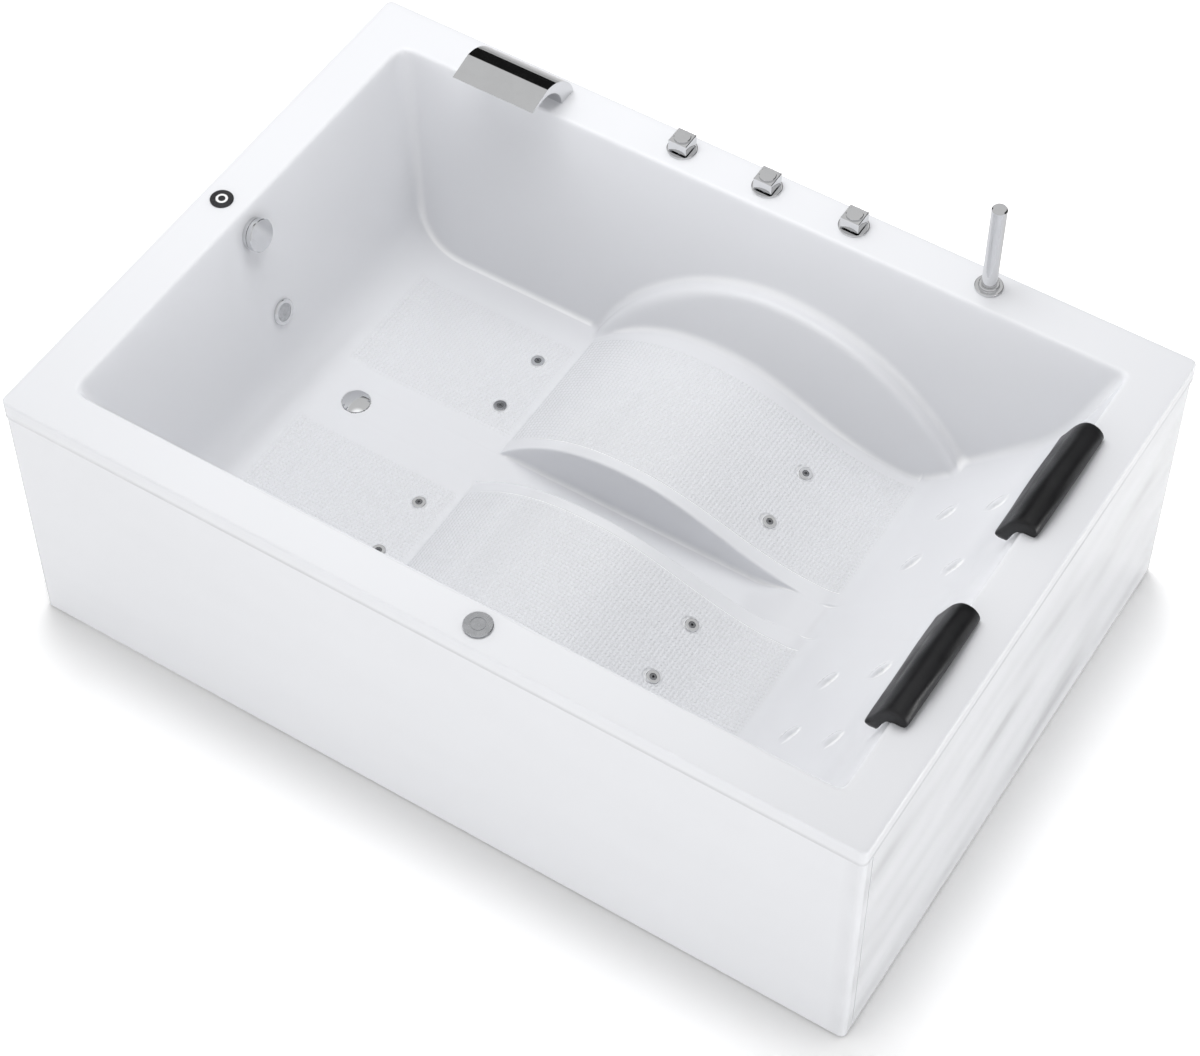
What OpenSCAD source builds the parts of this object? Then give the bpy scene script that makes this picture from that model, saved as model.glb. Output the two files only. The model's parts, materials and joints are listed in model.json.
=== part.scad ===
/* [Tub] */
// Overall length of the tub, foot end to head end
tub_len = 1800; // [1770:5:1860]
// Overall width of the tub
tub_wid = 1245; // [1215:5:1290]
// Height of the rim's top above the ground
tub_h = 627; // [612:1:650]
// Height of the bathing floor above the ground
floor_h = 202; // [196:1:212]
// Thickness of the moulded shell
shell_t = 6; // [5:0.5:7]
// Width of the rim at the foot end
rim_left = 98; // [92:1:104]
// Width of the rim at the head end
rim_right = 93; // [90:1:98]
// Width of the rim along the front
rim_front = 89; // [86:1:96]
// Width of the rim along the back
rim_back = 97; // [94:1:104]
// Height of the skirt that turns down from the rim
skirt_h = 44; // [36:1:56]
// Lean of the bath walls from upright, in degrees
wall_draft = 14.4; // [13:0.1:15]
// Radius between the foot wall and the bathing floor
foot_r = 100; // [70:1:110]

/* [Lounges] */
// Where the lounges begin, as a share of the bath's length from the foot wall
lounge_share = 0.3356; // [0.33:0.0002:0.34]
// Height of the knee crest above the bathing floor
crest_rise = 110; // [90:1:118]
// Length of the rise to the crest, as a share of the bath's length
crest_share = 0.1815; // [0.168:0.0005:0.187]
// Length of the fall from the crest to the seat, as a share of the bath's length
seat_share = 0.2486; // [0.236:0.0002:0.255]
// Height of the seat above the bathing floor
seat_rise = 28; // [20:1:34]
// Length of the level part of the seat, as a share of the bath's length
flat_share = 0.0311; // [0.03:0.0001:0.037]
// Where the backrest bends, as a share of its run
bend_run_share = 0.742; // [0.72:0.002:0.76]
// Where the backrest bends, as a share of its height
bend_rise_share = 0.513; // [0.49:0.001:0.53]
// Width of the channel between the lounges, at the floor
channel_w = 84; // [70:1:96]
// Lean of the channel's sides from upright, in degrees
channel_draft = 6; // [3:1:9]
// Height of the armrests' crown above the bathing floor
arm_rise = 258; // [240:1:265]
// How far the armrest ledges stand in from the side walls
arm_depth = 30; // [24:1:34]

/* [Fittings] */
// Height of the waterfall spout above the rim
spout_h = 79; // [65:1:85]
// Length of the waterfall spout along the rim
spout_len = 185; // [160:1:200]
// Reach of the spout from its back edge to its lip
spout_reach = 147; // [130:1:160]
// Side of the square valve handles
handle_w = 40; // [36:1:44]
// Height of the square valve handles
handle_h = 24; // [20:1:28]
// Distance between the valve handles
valve_pitch = 190.5; // [170:0.5:196]
// Diameter of the hand shower
shower_d = 30; // [28:1:32]
// Height of the hand shower above the rim
shower_h = 213; // [190:1:230]
// Diameter of the overflow knob
knob_d = 66; // [60:1:70]
// Diameter of the drain plug's cap
plug_d = 56; // [50:1:58]
// Diameter of the air control's knob
air_knob_d = 54; // [50:1:58]
// Diameter of the start button's bezel
start_d = 46; // [44:1:52]
// Diameter of a jet's face ring
jet_d = 28; // [27:0.5:31]
// Diameter of a jet's swivelling ball
ball_d = 16; // [15:0.5:17]

/* [Headrests] */
// Length of a headrest pillow
pillow_len = 264; // [240:1:300]
// Thickness that the pillow gains at the middle of its length
pillow_crown = 12; // [6:1:14]

/* [Frame] */
// Side of the frame's square tubes
tube_w = 30; // [26:1:32]
// Thickness of the board bonded under the bathing floor
board_t = 12; // [10:1:14]
// Height of the posts' lower ends above the ground
post_z = 55; // [48:1:64]
// Thickness of the apron panels
apron_t = 5; // [4:0.5:6]
// Width of the front apron's return round each corner
apron_return = 32; // [28:1:40]
// Diameter of the pump's motor
motor_d = 126; // [118:1:130]
// Diameter of the water pipes
pipe_d = 40; // [36:1:42]

/* [Hidden] */
$fn = 48;

// Overrun of a cut past the face it opens, and the gap at a seated face
over = 1;
seat_gap = 0.3;
// Radial clearance of a shaft that runs in a hole
running = 0.08;

// Driving places along the bath, measured inwards from the tub's own edges
left_x = -tub_len / 2;
right_x = tub_len / 2;
front_y = -tub_wid / 2;
back_y = tub_wid / 2;
open_x0 = left_x + rim_left;
open_x1 = right_x - rim_right;
open_y0 = front_y + rim_front;
open_y1 = back_y - rim_back;
bath_y = (open_y0 + open_y1) / 2;
open_half = (open_y1 - open_y0) / 2;
rim_under = tub_h - shell_t;
floor_under = floor_h - shell_t;
rim_corner_r = 14;
rim_chamfer = 3;
opening_r = 30;

// Bath walls: how far each has come in at a height
function wall_in(z) = (tub_h - z) * tan(wall_draft);
wall_foot = wall_in(floor_h);

// Lounge side profile, as heights above the bathing floor
bath_len = open_x1 - open_x0;
crest_run = crest_share * bath_len;
seat_run = seat_share * bath_len;
seat_flat = flat_share * bath_len;
lounge_x0 = open_x0 + lounge_share * bath_len;
crest_x = lounge_x0 + crest_run;
seat_x0 = crest_x + seat_run;
seat_x1 = seat_x0 + seat_flat;
rise_power = 2.5;
ramp_run = 120;
function lounge_rise(x) =
    x <= lounge_x0 ? 0 :
    x < crest_x ? crest_rise * (1 - pow(1 - (x - lounge_x0) / crest_run, rise_power)) :
    x < seat_x0 ? seat_rise + (crest_rise - seat_rise) * (1 + cos(180 * (x - crest_x) / seat_run)) / 2 :
    seat_rise;
function channel_rise(x) =
    x < seat_x0 - ramp_run ? 0 :
    x < seat_x0 ? seat_rise * (1 - cos(180 * (x - seat_x0 + ramp_run) / ramp_run)) / 2 :
    seat_rise;

// Backrest: two slopes joined by an arc
back_dx = open_x1 - seat_x1;
back_dz = tub_h - floor_h - seat_rise;
back_slope = atan(bend_rise_share * back_dz / (bend_run_share * back_dx));
head_slope = atan((1 - bend_rise_share) * back_dz / ((1 - bend_run_share) * back_dx));
back_a = norm([bend_run_share * back_dx, bend_rise_share * back_dz]);
back_blend_r = 300;
back_tangent = back_blend_r * tan((head_slope - back_slope) / 2);
bend_x = seat_x1 + (back_a - back_tangent) * cos(back_slope);
bend_z = floor_h + seat_rise + (back_a - back_tangent) * sin(back_slope);
back_arc = [
    for (k = [0 : 8])
        let (a = back_slope + (head_slope - back_slope) * k / 8)
        [bend_x + back_blend_r * (sin(a) - sin(back_slope)),
         bend_z + back_blend_r * (cos(back_slope) - cos(a))]
];
back_end = [[open_x1 + 2 * over / tan(head_slope), tub_h + 2 * over]];

// Foot wall with its soft radius down to the floor
fillet_run = foot_r / tan((90 + wall_draft) / 2);
fillet_x = open_x0 + wall_foot + fillet_run;
foot_wall = concat(
    [[left_x, tub_h + 2 * over], [left_x, floor_h + foot_r]],
    [
        for (k = [0 : 10])
            let (a = 180 + 90 * k / 10)
            [fillet_x - over + foot_r * cos(a), floor_h + foot_r + foot_r * sin(a)]
    ]
);
function floor_line(x0, x1, n) = [for (k = [0 : n]) x0 + (x1 - x0) * k / n];
lounge_xs = concat(
    floor_line(lounge_x0, crest_x - over, 14),
    floor_line(crest_x, seat_x0, 18)
);
lounge_profile = concat(
    foot_wall,
    [for (x = lounge_xs) [x, floor_h + lounge_rise(x)]],
    [[seat_x1, floor_h + seat_rise]],
    back_arc,
    back_end
);
channel_profile = concat(
    foot_wall,
    [for (x = floor_line(seat_x0 - ramp_run, seat_x0, 8)) [x, floor_h + channel_rise(x)]],
    [[seat_x1, floor_h + seat_rise]],
    back_arc,
    back_end
);

// Armrest: the side walls stand further in below an arch of two arcs
arm_peak_share = 1.325;
arm_foot_share = 1.6667;
arm_head_share = 2.2857;
arm_peak_x = lounge_x0 + arm_peak_share * crest_run;
arm_foot_r = arm_rise * arm_foot_share;
arm_head_r = arm_rise * arm_head_share;
function arm_arch(g) = concat(
    [
        for (k = [0 : 14])
            let (a = 180 - 90 * k / 14)
            [arm_peak_x + (arm_foot_r - g) * cos(a), floor_h + arm_rise - arm_foot_r + (arm_foot_r - g) * sin(a)]
    ],
    [
        for (k = [1 : 14])
            let (a = 90 - 60 * k / 14)
            [arm_peak_x + (arm_head_r - g) * cos(a), floor_h + arm_rise - arm_head_r + (arm_head_r - g) * sin(a)]
    ],
    [[arm_peak_x + (arm_head_r - g) * cos(30), 0], [arm_peak_x - arm_foot_r + g, 0]]
);

// Where the pieces on the rim stand
deck_inset = 43;
deck_y = back_y - deck_inset;
spout_in = 363;
spout_x = left_x + spout_in;
spout_back = 22;
first_valve = 719;
function valve_x(i) = left_x + first_valve + i * valve_pitch;
shower_step = 289;
shower_x = valve_x(2) + shower_step;
start_in = 44;
start_x = left_x + start_in;
air_in = 1012;
air_inset = 46;
air_x = left_x + air_in;
air_y = front_y + air_inset;
knob_drop = 56;
light_drop = 253;
knob_z = tub_h - knob_drop;
light_z = tub_h - light_drop;
drain_in = 41.3;
drain_x = fillet_x + drain_in;
suction_in = 415;
suction_up = 74;
suction_x = left_x + suction_in;
suction_z = floor_h + suction_up;

// Jet places
foot_jet_in = 64;
foot_jet_x = lounge_x0 - foot_jet_in;
seat_jet_share = 0.65;
seat_jet_x = crest_x + seat_jet_share * seat_run;
seat_half = open_half - arm_depth - wall_foot;
inner_jet_share = 0.3663;
outer_jet_share = 0.7198;
jet_inner = inner_jet_share * seat_half;
jet_outer = outer_jet_share * seat_half;
jet_ys = [bath_y + jet_outer, bath_y + jet_inner, bath_y - jet_inner, bath_y - jet_outer];
jet_step = 2;
seat_jet_slope = atan((lounge_rise(seat_jet_x + jet_step) - lounge_rise(seat_jet_x - jet_step)) / (2 * jet_step));
seat_jet_z = floor_h + lounge_rise(seat_jet_x);
jet_body_len = 30;
jet_drop = shell_t + jet_body_len;
seat_row_x = seat_jet_x + sin(seat_jet_slope) * jet_drop;

// Frame levels, from the floor's underside down
rail_z1 = floor_under - board_t;
rail_z0 = rail_z1 - tube_w;
cross_z0 = rail_z0 - tube_w;
rail_off = 215;
post_inset_x = 40;
post_inset_y = 47;
post_shares = [0.29444, 0.69167];
frame_xs = [
    left_x + post_inset_x,
    left_x + post_shares[0] * tub_len,
    left_x + post_shares[1] * tub_len,
    right_x - post_inset_x
];
post_ys = [front_y + post_inset_y, back_y - post_inset_y];

// General placing helpers

// Turns +Z to point along d
module point_along(d) {
    rotate([0, acos(d[2] / norm(d)), atan2(d[1], d[0])]) children();
}

// Extrudes an outline drawn in X and Z along Y
module extrude_y(y0, y1) {
    translate([0, y1, 0]) rotate([90, 0, 0]) linear_extrude(y1 - y0) children();
}

// Extrudes an outline drawn in Y and Z along X
module extrude_x(x0, x1) {
    translate([x0, 0, 0]) rotate([90, 0, 90]) linear_extrude(x1 - x0) children();
}

module rounded_plan(x0, x1, y0, y1, r) {
    translate([x0 + r, y0]) square([x1 - x0 - 2 * r, y1 - y0]);
    translate([x0, y0 + r]) square([x1 - x0, y1 - y0 - 2 * r]);
    for (x = [x0 + r, x1 - r], y = [y0 + r, y1 - r]) translate([x, y]) circle(r);
}

module box(x0, x1, y0, y1, z0, z1) {
    translate([x0, y0, z0]) cube([x1 - x0, y1 - y0, z1 - z0]);
}

module disc(d, z0, z1) {
    translate([0, 0, z0]) cylinder(d = d, h = z1 - z0);
}

// A round turned piece with a chamfered top edge
module capped_disc(d, z0, z1, edge) {
    disc(d, z0, z1 - edge);
    translate([0, 0, z1 - edge]) cylinder(d1 = d, d2 = d - 2 * edge, h = edge);
}

// Hexagonal or square prism across its flats
module hex(af, z0, z1) {
    translate([0, 0, z0]) cylinder(d = af / cos(30), h = z1 - z0, $fn = 6);
}

function unit(v) = v / norm(v);
function turn_angle(a, b) = acos(max(-1, min(1, a * b)));

// A pipe through a list of points; a thicker round elbow takes both pipe ends at each bend
socket_in = 4;
module pipe_run(pts, d, r, wall) {
    n = len(pts);
    dirs = [for (i = [0 : n - 2]) unit(pts[i + 1] - pts[i])];
    cut = [
        for (i = [0 : n - 1])
            i == 0 || i == n - 1 ? 0 : r * tan(turn_angle(dirs[i - 1], dirs[i]) / 2) - socket_in
    ];
    for (i = [0 : n - 2])
        translate(pts[i] + dirs[i] * cut[i])
            point_along(dirs[i])
                cylinder(d = d, h = norm(pts[i + 1] - pts[i]) - cut[i] - cut[i + 1]);
    for (i = [1 : n - 2]) {
        a = dirs[i - 1];
        b = dirs[i];
        side = unit(b - (a * b) * a);
        up = cross(a, side);
        c = pts[i] - a * (cut[i] + socket_in) + side * r;
        multmatrix([
            [-side[0], a[0], up[0], c[0]],
            [-side[1], a[1], up[1], c[1]],
            [-side[2], a[2], up[2], c[2]],
            [0, 0, 0, 1]
        ])
            rotate_extrude(angle = turn_angle(a, b)) translate([r, 0]) circle(d = d + 2 * wall);
    }
}

// Gap under a fitting that is clamped to a sloping wall
wall_gap = 0.05;

// Places children on the foot wall at a height, with +Z pointing into the bath
module on_foot_wall(z) {
    translate([open_x0 + wall_in(z), bath_y, z]) rotate([0, 90 - wall_draft, 0])
        translate([0, 0, wall_gap]) children();
}

// Places children on the front wall, with +Z pointing into the bath
module on_front_wall(x, z) {
    translate([x, open_y0 + wall_in(z), z]) rotate([wall_draft - 90, 0, 0])
        translate([0, 0, wall_gap]) children();
}

module at_foot_jet(i) {
    translate([foot_jet_x, jet_ys[i], floor_h]) children();
}

module at_seat_jet(i) {
    translate([seat_jet_x, jet_ys[i], seat_jet_z]) rotate([0, -seat_jet_slope, 0])
        translate([0, 0, seat_gap]) children();
}

module at_all_jets() {
    for (i = [0 : 3]) at_foot_jet(i) children();
    for (i = [0 : 3]) at_seat_jet(i) children();
}

module at_valve(i) {
    translate([valve_x(i), deck_y, tub_h]) children();
}

// The bath's drafted walls, grown outwards by g
head_over = 4;
module bath_walls(g, z0, z1) {
    grow = g / cos(wall_draft);
    y_half0 = open_half - wall_in(z0) + grow;
    y_half1 = open_half - wall_in(z1) + grow;
    x1 = open_x1 + head_over + g;
    len0 = x1 - open_x0 - wall_in(z0) + grow;
    len1 = x1 - open_x0 - wall_in(z1) + grow;
    translate([x1, bath_y, z0])
        linear_extrude(z1 - z0, scale = [len1 / len0, y_half1 / y_half0], slices = 1)
            rounded_plan(-len0, 0, -y_half0, y_half0, opening_r + g, $fn = 32);
}

// The room between the armrests' inner sides
module between_arms(g, z0, z1) {
    half0 = open_half - arm_depth - wall_in(z0) + g / cos(wall_draft);
    half1 = open_half - arm_depth - wall_in(z1) + g / cos(wall_draft);
    extrude_x(lounge_x0 - arm_depth - g, seat_x1 + 4 * arm_depth)
        polygon([
            [bath_y - half0, z0], [bath_y + half0, z0],
            [bath_y + half1, z1], [bath_y - half1, z1]
        ]);
}

// The hollow of the bath for g = 0, and the outside of its moulding for g = shell_t
module bath_form(g, z1) {
    z0 = floor_h - g - over;
    z_arm = floor_h + arm_rise + over;
    slope = tan(channel_draft);
    side = channel_w / 2 + g / cos(channel_draft);
    intersection() {
        extrude_y(front_y, back_y) offset(delta = g) polygon(lounge_profile);
        union() {
            difference() {
                bath_walls(g, z0, z1);
                extrude_y(front_y, back_y) polygon(arm_arch(g));
            }
            between_arms(g, z0, z_arm);
        }
    }
    intersection() {
        extrude_y(front_y, back_y) offset(delta = g) polygon(channel_profile);
        extrude_x(lounge_x0 - over, seat_x0 + over)
            polygon([
                [bath_y - side - (g + over) * slope, z0],
                [bath_y + side - (g + over) * slope, z0],
                [bath_y + side + 2 * crest_rise * slope, floor_h + 2 * crest_rise],
                [bath_y - side - 2 * crest_rise * slope, floor_h + 2 * crest_rise]
            ]);
    }
}

// Massage bumps on the backrest: low spindles, each sunk in the surface and turned a little
bump_len = 68;
bump_w = 26;
bump_h = 5;
bump_sink = 3;
bump_turn = 35;
bump_r = (pow(bump_w / 2, 2) + pow(bump_h, 2)) / (2 * bump_h);
bump_run_shares = [0.315, 0.315, 0.592, 0.592];
bump_across_shares = [0.400, 0.753, 0.351, 0.791];
function back_rise(dx) = dx * tan(back_slope);
module bump() {
    intersection() {
        translate([-bump_len, -bump_len, -bump_sink]) cube([2 * bump_len, 2 * bump_len, bump_sink + bump_h]);
        translate([0, 0, bump_h - bump_r])
            rotate([0, 90, 0])
                rotate_extrude()
                    polygon(concat(
                        [[0, -bump_len / 2]],
                        [
                            for (k = [0 : 8])
                                let (t = k / 4 - 1)
                                [bump_r - bump_h * t * t, bump_len / 2 * t]
                        ],
                        [[0, bump_len / 2]]
                    ));
    }
}

module bumps() {
    for (k = [0 : 3], s = [-1, 1])
        translate([
            seat_x1 + bump_run_shares[k] * back_dx,
            bath_y + s * bump_across_shares[k] * seat_half,
            floor_h + seat_rise + back_rise(bump_run_shares[k] * back_dx)
        ])
            rotate([0, -back_slope, 0]) rotate(90 - bump_turn) bump();
}

// Tub shell values
skirt_t = shell_t;
spout_hole = 28;
valve_hole = 30;
shower_hole = 46;
start_hole = 32;
air_hole = 36;
drain_hole = 50;
knob_hole = 40;
light_hole = 42;
suction_hole = 52;
jet_hole = 21;
drain_seat = 3;
drain_seat_d = 67;

module tub_shell() {
    color("white") bumps();
    color("white") difference() {
        union() {
            hull() {
                translate([0, 0, rim_under])
                    linear_extrude(shell_t - rim_chamfer)
                        rounded_plan(left_x, right_x, front_y, back_y, rim_corner_r, $fn = 32);
                translate([0, 0, rim_under])
                    linear_extrude(shell_t)
                        rounded_plan(
                            left_x + rim_chamfer, right_x - rim_chamfer,
                            front_y + rim_chamfer, back_y - rim_chamfer,
                            rim_corner_r - rim_chamfer, $fn = 32
                        );
            }
            translate([0, 0, tub_h - skirt_h]) linear_extrude(skirt_h - shell_t) difference() {
                rounded_plan(left_x, right_x, front_y, back_y, rim_corner_r, $fn = 32);
                rounded_plan(
                    left_x + skirt_t, right_x - skirt_t, front_y + skirt_t, back_y - skirt_t,
                    rim_corner_r - skirt_t, $fn = 32
                );
            }
            bath_form(shell_t, tub_h - rim_chamfer);
        }
        bath_form(0, tub_h + over);
        translate([spout_x, deck_y, 0]) disc(spout_hole, rim_under - over, tub_h + over);
        for (i = [0 : 2]) at_valve(i) disc(valve_hole, -shell_t - over, over);
        translate([shower_x, deck_y, tub_h]) disc(shower_hole, -shell_t - over, over);
        translate([start_x, bath_y, tub_h]) disc(start_hole, -shell_t - over, over);
        translate([air_x, air_y, tub_h]) disc(air_hole, -shell_t - over, over);
        translate([drain_x, bath_y, floor_h]) {
            disc(drain_hole, -shell_t - over, over);
            disc(drain_seat_d, -drain_seat, over);
        }
        on_foot_wall(knob_z) disc(knob_hole, -shell_t - 2 * over, over);
        on_foot_wall(light_z) disc(light_hole, -shell_t - 2 * over, over);
        on_front_wall(suction_x, suction_z) disc(suction_hole, -shell_t - 2 * over, over);
        at_all_jets() disc(jet_hole, -shell_t - 2 * over, over);
    }
}

// Base board: plywood bonded under the bathing floor
board_edge = 12;
board_corner = 20;
board_jet_hole = 48;
board_drain_hole = 76;
module base_board() {
    color("burlywood") difference() {
        translate([0, 0, floor_under - board_t])
            linear_extrude(board_t)
                rounded_plan(
                    fillet_x, lounge_x0 - board_edge,
                    bath_y - open_half + wall_foot + board_edge, bath_y + open_half - wall_foot - board_edge,
                    board_corner
                );
        for (i = [0 : 3]) at_foot_jet(i) disc(board_jet_hole, -shell_t - board_t - over, 0);
        translate([drain_x, bath_y, floor_h]) disc(board_drain_hole, -shell_t - board_t - over, 0);
    }
}

// Seat battens: blocks that carry the seats on the cradle rails
batten_len = 110;
module seat_battens() {
    color("burlywood")
        for (s = [-1, 1])
            translate([seat_x0 + shell_t, bath_y + s * rail_off - batten_len / 2, rail_z1])
                cube([seat_flat - 2 * shell_t, batten_len, floor_under + seat_rise - rail_z1]);
}

tube_wall = 2;
module square_tube(length) {
    linear_extrude(length) difference() {
        square(tube_w, center = true);
        square(tube_w - 2 * tube_wall, center = true);
    }
}

// Two rails along the tub under the board and the seats
module cradle_rails() {
    color("slategray")
        for (s = [-1, 1])
            translate([frame_xs[0] - tube_w / 2, bath_y + s * rail_off, rail_z0 + tube_w / 2])
                rotate([0, 90, 0]) square_tube(frame_xs[3] - frame_xs[0] + tube_w);
}

// Tubes across the tub that carry the rails
module cross_tubes() {
    color("slategray")
        for (x = frame_xs)
            translate([x, post_ys[0] + tube_w / 2, cross_z0 + tube_w / 2])
                rotate([-90, 0, 0]) square_tube(post_ys[1] - post_ys[0] - tube_w);
}

// Posts from the feet up to the rim, closed by end plates
plate_t = 4;
plate_w = 44;
foot_stud_d = 12;
module rim_posts() {
    color("slategray")
        for (x = frame_xs, y = post_ys) translate([x, y, 0]) {
            translate([0, 0, post_z + plate_t]) square_tube(rim_under - post_z - 2 * plate_t);
            difference() {
                translate([-tube_w / 2, -tube_w / 2, post_z]) cube([tube_w, tube_w, plate_t]);
                disc(foot_stud_d + 2 * running, post_z - over, post_z + plate_t + over);
            }
            translate([-plate_w / 2, -tube_w / 2, rim_under - plate_t]) cube([plate_w, tube_w, plate_t]);
        }
}

// Adjustable feet with their locknuts
pad_d = 50;
pad_h = 10;
pad_neck = 8;
nut_af = 19;
nut_h = 10;
module leveling_feet() {
    color("dimgray")
        for (x = frame_xs, y = post_ys) translate([x, y, 0]) {
            disc(pad_d, 0, pad_h);
            translate([0, 0, pad_h]) cylinder(d1 = pad_d, d2 = foot_stud_d + pad_neck, h = pad_neck);
            disc(foot_stud_d, pad_h + pad_neck, post_z + plate_t + nut_h + pad_neck);
            difference() {
                hex(nut_af, post_z - nut_h, post_z);
                disc(foot_stud_d, post_z - nut_h - over, post_z + over);
            }
        }
}

// Apron panels: a face panel whose top turns in and up behind the skirt
apron_z0 = 3;
apron_gap = 2;
apron_inset = 2;
hook_h = 22;
apron_z1 = tub_h - skirt_h - apron_gap;
apron_corner_r = 12;
hook_t = 3;
module apron_corner(x_out, s) {
    r = apron_corner_r;
    y_out = front_y + apron_inset;
    translate([x_out - s * r, y_out + r, apron_z0]) linear_extrude(apron_z1 - apron_z0)
        difference() {
            intersection() {
                circle(r);
                translate([s > 0 ? 0 : -r, -r]) square(r);
            }
            circle(r - apron_t);
        }
    x_in = min(x_out, x_out - s * apron_t);
    box(x_in, x_in + apron_t, y_out + r, front_y + apron_return, apron_z0, apron_z1);
}

module apron_front() {
    x_out = right_x - apron_inset;
    color("whitesmoke") {
        translate([0, front_y + apron_inset, 0])
            extrude_x(-x_out + apron_corner_r, x_out - apron_corner_r)
                polygon([
                    [0, apron_z0], [apron_t, apron_z0],
                    [apron_t, apron_z1 - apron_t],
                    [hook_y + hook_t, apron_z1 - apron_t],
                    [hook_y + hook_t, apron_z1 + hook_h],
                    [hook_y, apron_z1 + hook_h],
                    [hook_y, apron_z1],
                    [0, apron_z1]
                ]);
        apron_corner(x_out, 1);
        apron_corner(-x_out, -1);
    }
}
hook_y = skirt_t - apron_inset + seat_gap;

panel_gap = 2;
module apron_side() {
    color("whitesmoke")
        translate([right_x - apron_inset, 0, 0]) mirror([1, 0, 0])
            extrude_y(front_y + apron_return + panel_gap, back_y - rim_corner_r)
                polygon([
                    [0, apron_z0], [apron_t, apron_z0],
                    [apron_t, apron_z1 - apron_t],
                    [hook_y + hook_t, apron_z1 - apron_t],
                    [hook_y + hook_t, apron_z1 + hook_h],
                    [hook_y, apron_z1 + hook_h],
                    [hook_y, apron_z1],
                    [0, apron_z1]
                ]);
}

// Brackets between the posts and the apron panels
clip_w = 30;
clip_t = 4;
clip_in = 60;
clip_zs = [post_z + clip_in, apron_z1 - clip_in];
module clip(reach, x, y, z, side) {
    foot = clip_w / 2;
    if (side == "front")
        translate([x - clip_w / 2, y, z]) {
            cube([clip_w, reach, clip_t]);
            cube([clip_w, clip_t, foot]);
            translate([0, reach - clip_t, 0]) cube([clip_w, clip_t, foot]);
        }
    else
        translate([x, y - clip_w / 2, z]) {
            cube([reach, clip_w, clip_t]);
            cube([clip_t, clip_w, foot]);
            translate([reach - clip_t, 0, 0]) cube([clip_t, clip_w, foot]);
        }
}

module apron_clips() {
    y_face = front_y + apron_inset + apron_t;
    x_post = frame_xs[3] + tube_w / 2;
    color("silver") {
        for (x = frame_xs, z = clip_zs)
            clip(post_ys[0] - tube_w / 2 - y_face, x, y_face, z, "front");
        for (y = post_ys, z = clip_zs)
            clip(right_x - apron_inset - apron_t - x_post, x_post, y, z - clip_w, "side");
    }
}

// Headrest pillow: a soft roll that hooks over the head end's inner edge
pillow_off = 236;
pillow_w = 82;
pillow_drop = 76;
pillow_shares = [
    [-0.62, -0.53], [-0.585, -0.60], [-0.50, -0.63], [-0.38, -0.63], [-0.30, -0.60],
    [-0.21, -0.34], [-0.11, -0.10], [-0.02, 0.006], [0.10, 0.006], [0.30, 0.006],
    [0.355, 0.06], [0.355, 0.16], [0.30, 0.27], [0.20, 0.36], [0.06, 0.40],
    [-0.08, 0.37], [-0.20, 0.27], [-0.31, 0.12], [-0.42, -0.10], [-0.53, -0.34]
];
pillow_core_shares = [-0.35, -0.45];
pillow_rest_slope = 66.43;
pillow_first_top = 10;
pillow_stations = 12;
function pillow_lift(t) = pillow_crown * (1 - pow(abs(2 * t - 1), 2.4));
function pillow_ring(t) = [
    for (k = [0 : len(pillow_shares) - 1])
        let (
            s = pillow_shares[k],
            top = k >= pillow_first_top ? sin(180 * (k - pillow_first_top) / (len(pillow_shares) - pillow_first_top)) : 0,
            out = unit(s - pillow_core_shares),
            lean = min(0, s[1]) * pillow_drop * (1 / tan(head_slope) - 1 / tan(pillow_rest_slope))
        )
        [
            open_x1 + lean + s[0] * pillow_w + pillow_lift(t) * top * out[0],
            -pillow_len / 2 + pillow_len * t,
            tub_h + s[1] * pillow_drop + pillow_lift(t) * top * out[1]
        ]
];
module pillow(y) {
    m = len(pillow_shares);
    rings = [for (j = [0 : pillow_stations]) pillow_ring(j / pillow_stations)];
    pts = [for (r = rings) each r];
    sides = [
        for (j = [0 : pillow_stations - 1], k = [0 : m - 1])
            let (a = j * m + k, b = j * m + (k + 1) % m)
            each [[a, b, b + m], [a, b + m, a + m]]
    ];
    ends = [[for (k = [m - 1 : -1 : 0]) k], [for (k = [0 : m - 1]) pillow_stations * m + k]];
    color([0.12, 0.12, 0.13]) translate([0, y, 0]) polyhedron(pts, concat(sides, ends));
}

// Waterfall spout: a curved blade that rises from the rim and tips over the bath
function bezier(p, n) = [
    for (k = [0 : n])
        let (t = k / n, u = 1 - t)
        u * u * u * p[0] + 3 * u * u * t * p[1] + 3 * u * t * t * p[2] + t * t * t * p[3]
];
spout_outer_shares = [[0, 0], [0.03, 0.45], [0.33, 1], [0.62, 1]];
spout_inner_shares = [[0.286, 0], [0.30, 0.45], [0.50, 0.82], [0.72, 0.83]];
spout_lip_shares = [[1, 0.80], [0.985, 0.765]];
spout_tail_d = 26;
spout_tail_len = 52;
spout_root = 3;
module waterfall_spout() {
    outline = concat(
        bezier(spout_outer_shares, 12),
        spout_lip_shares,
        [for (k = [10 : -1 : 0]) bezier(spout_inner_shares, 10)[k]]
    );
    color("silver") {
        extrude_x(spout_x - spout_len / 2, spout_x + spout_len / 2)
            polygon([for (s = outline) [back_y - spout_back - s[0] * spout_reach, tub_h + s[1] * spout_h]]);
        translate([spout_x, deck_y, tub_h]) disc(spout_tail_d, -spout_tail_len, spout_root);
    }
}

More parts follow.
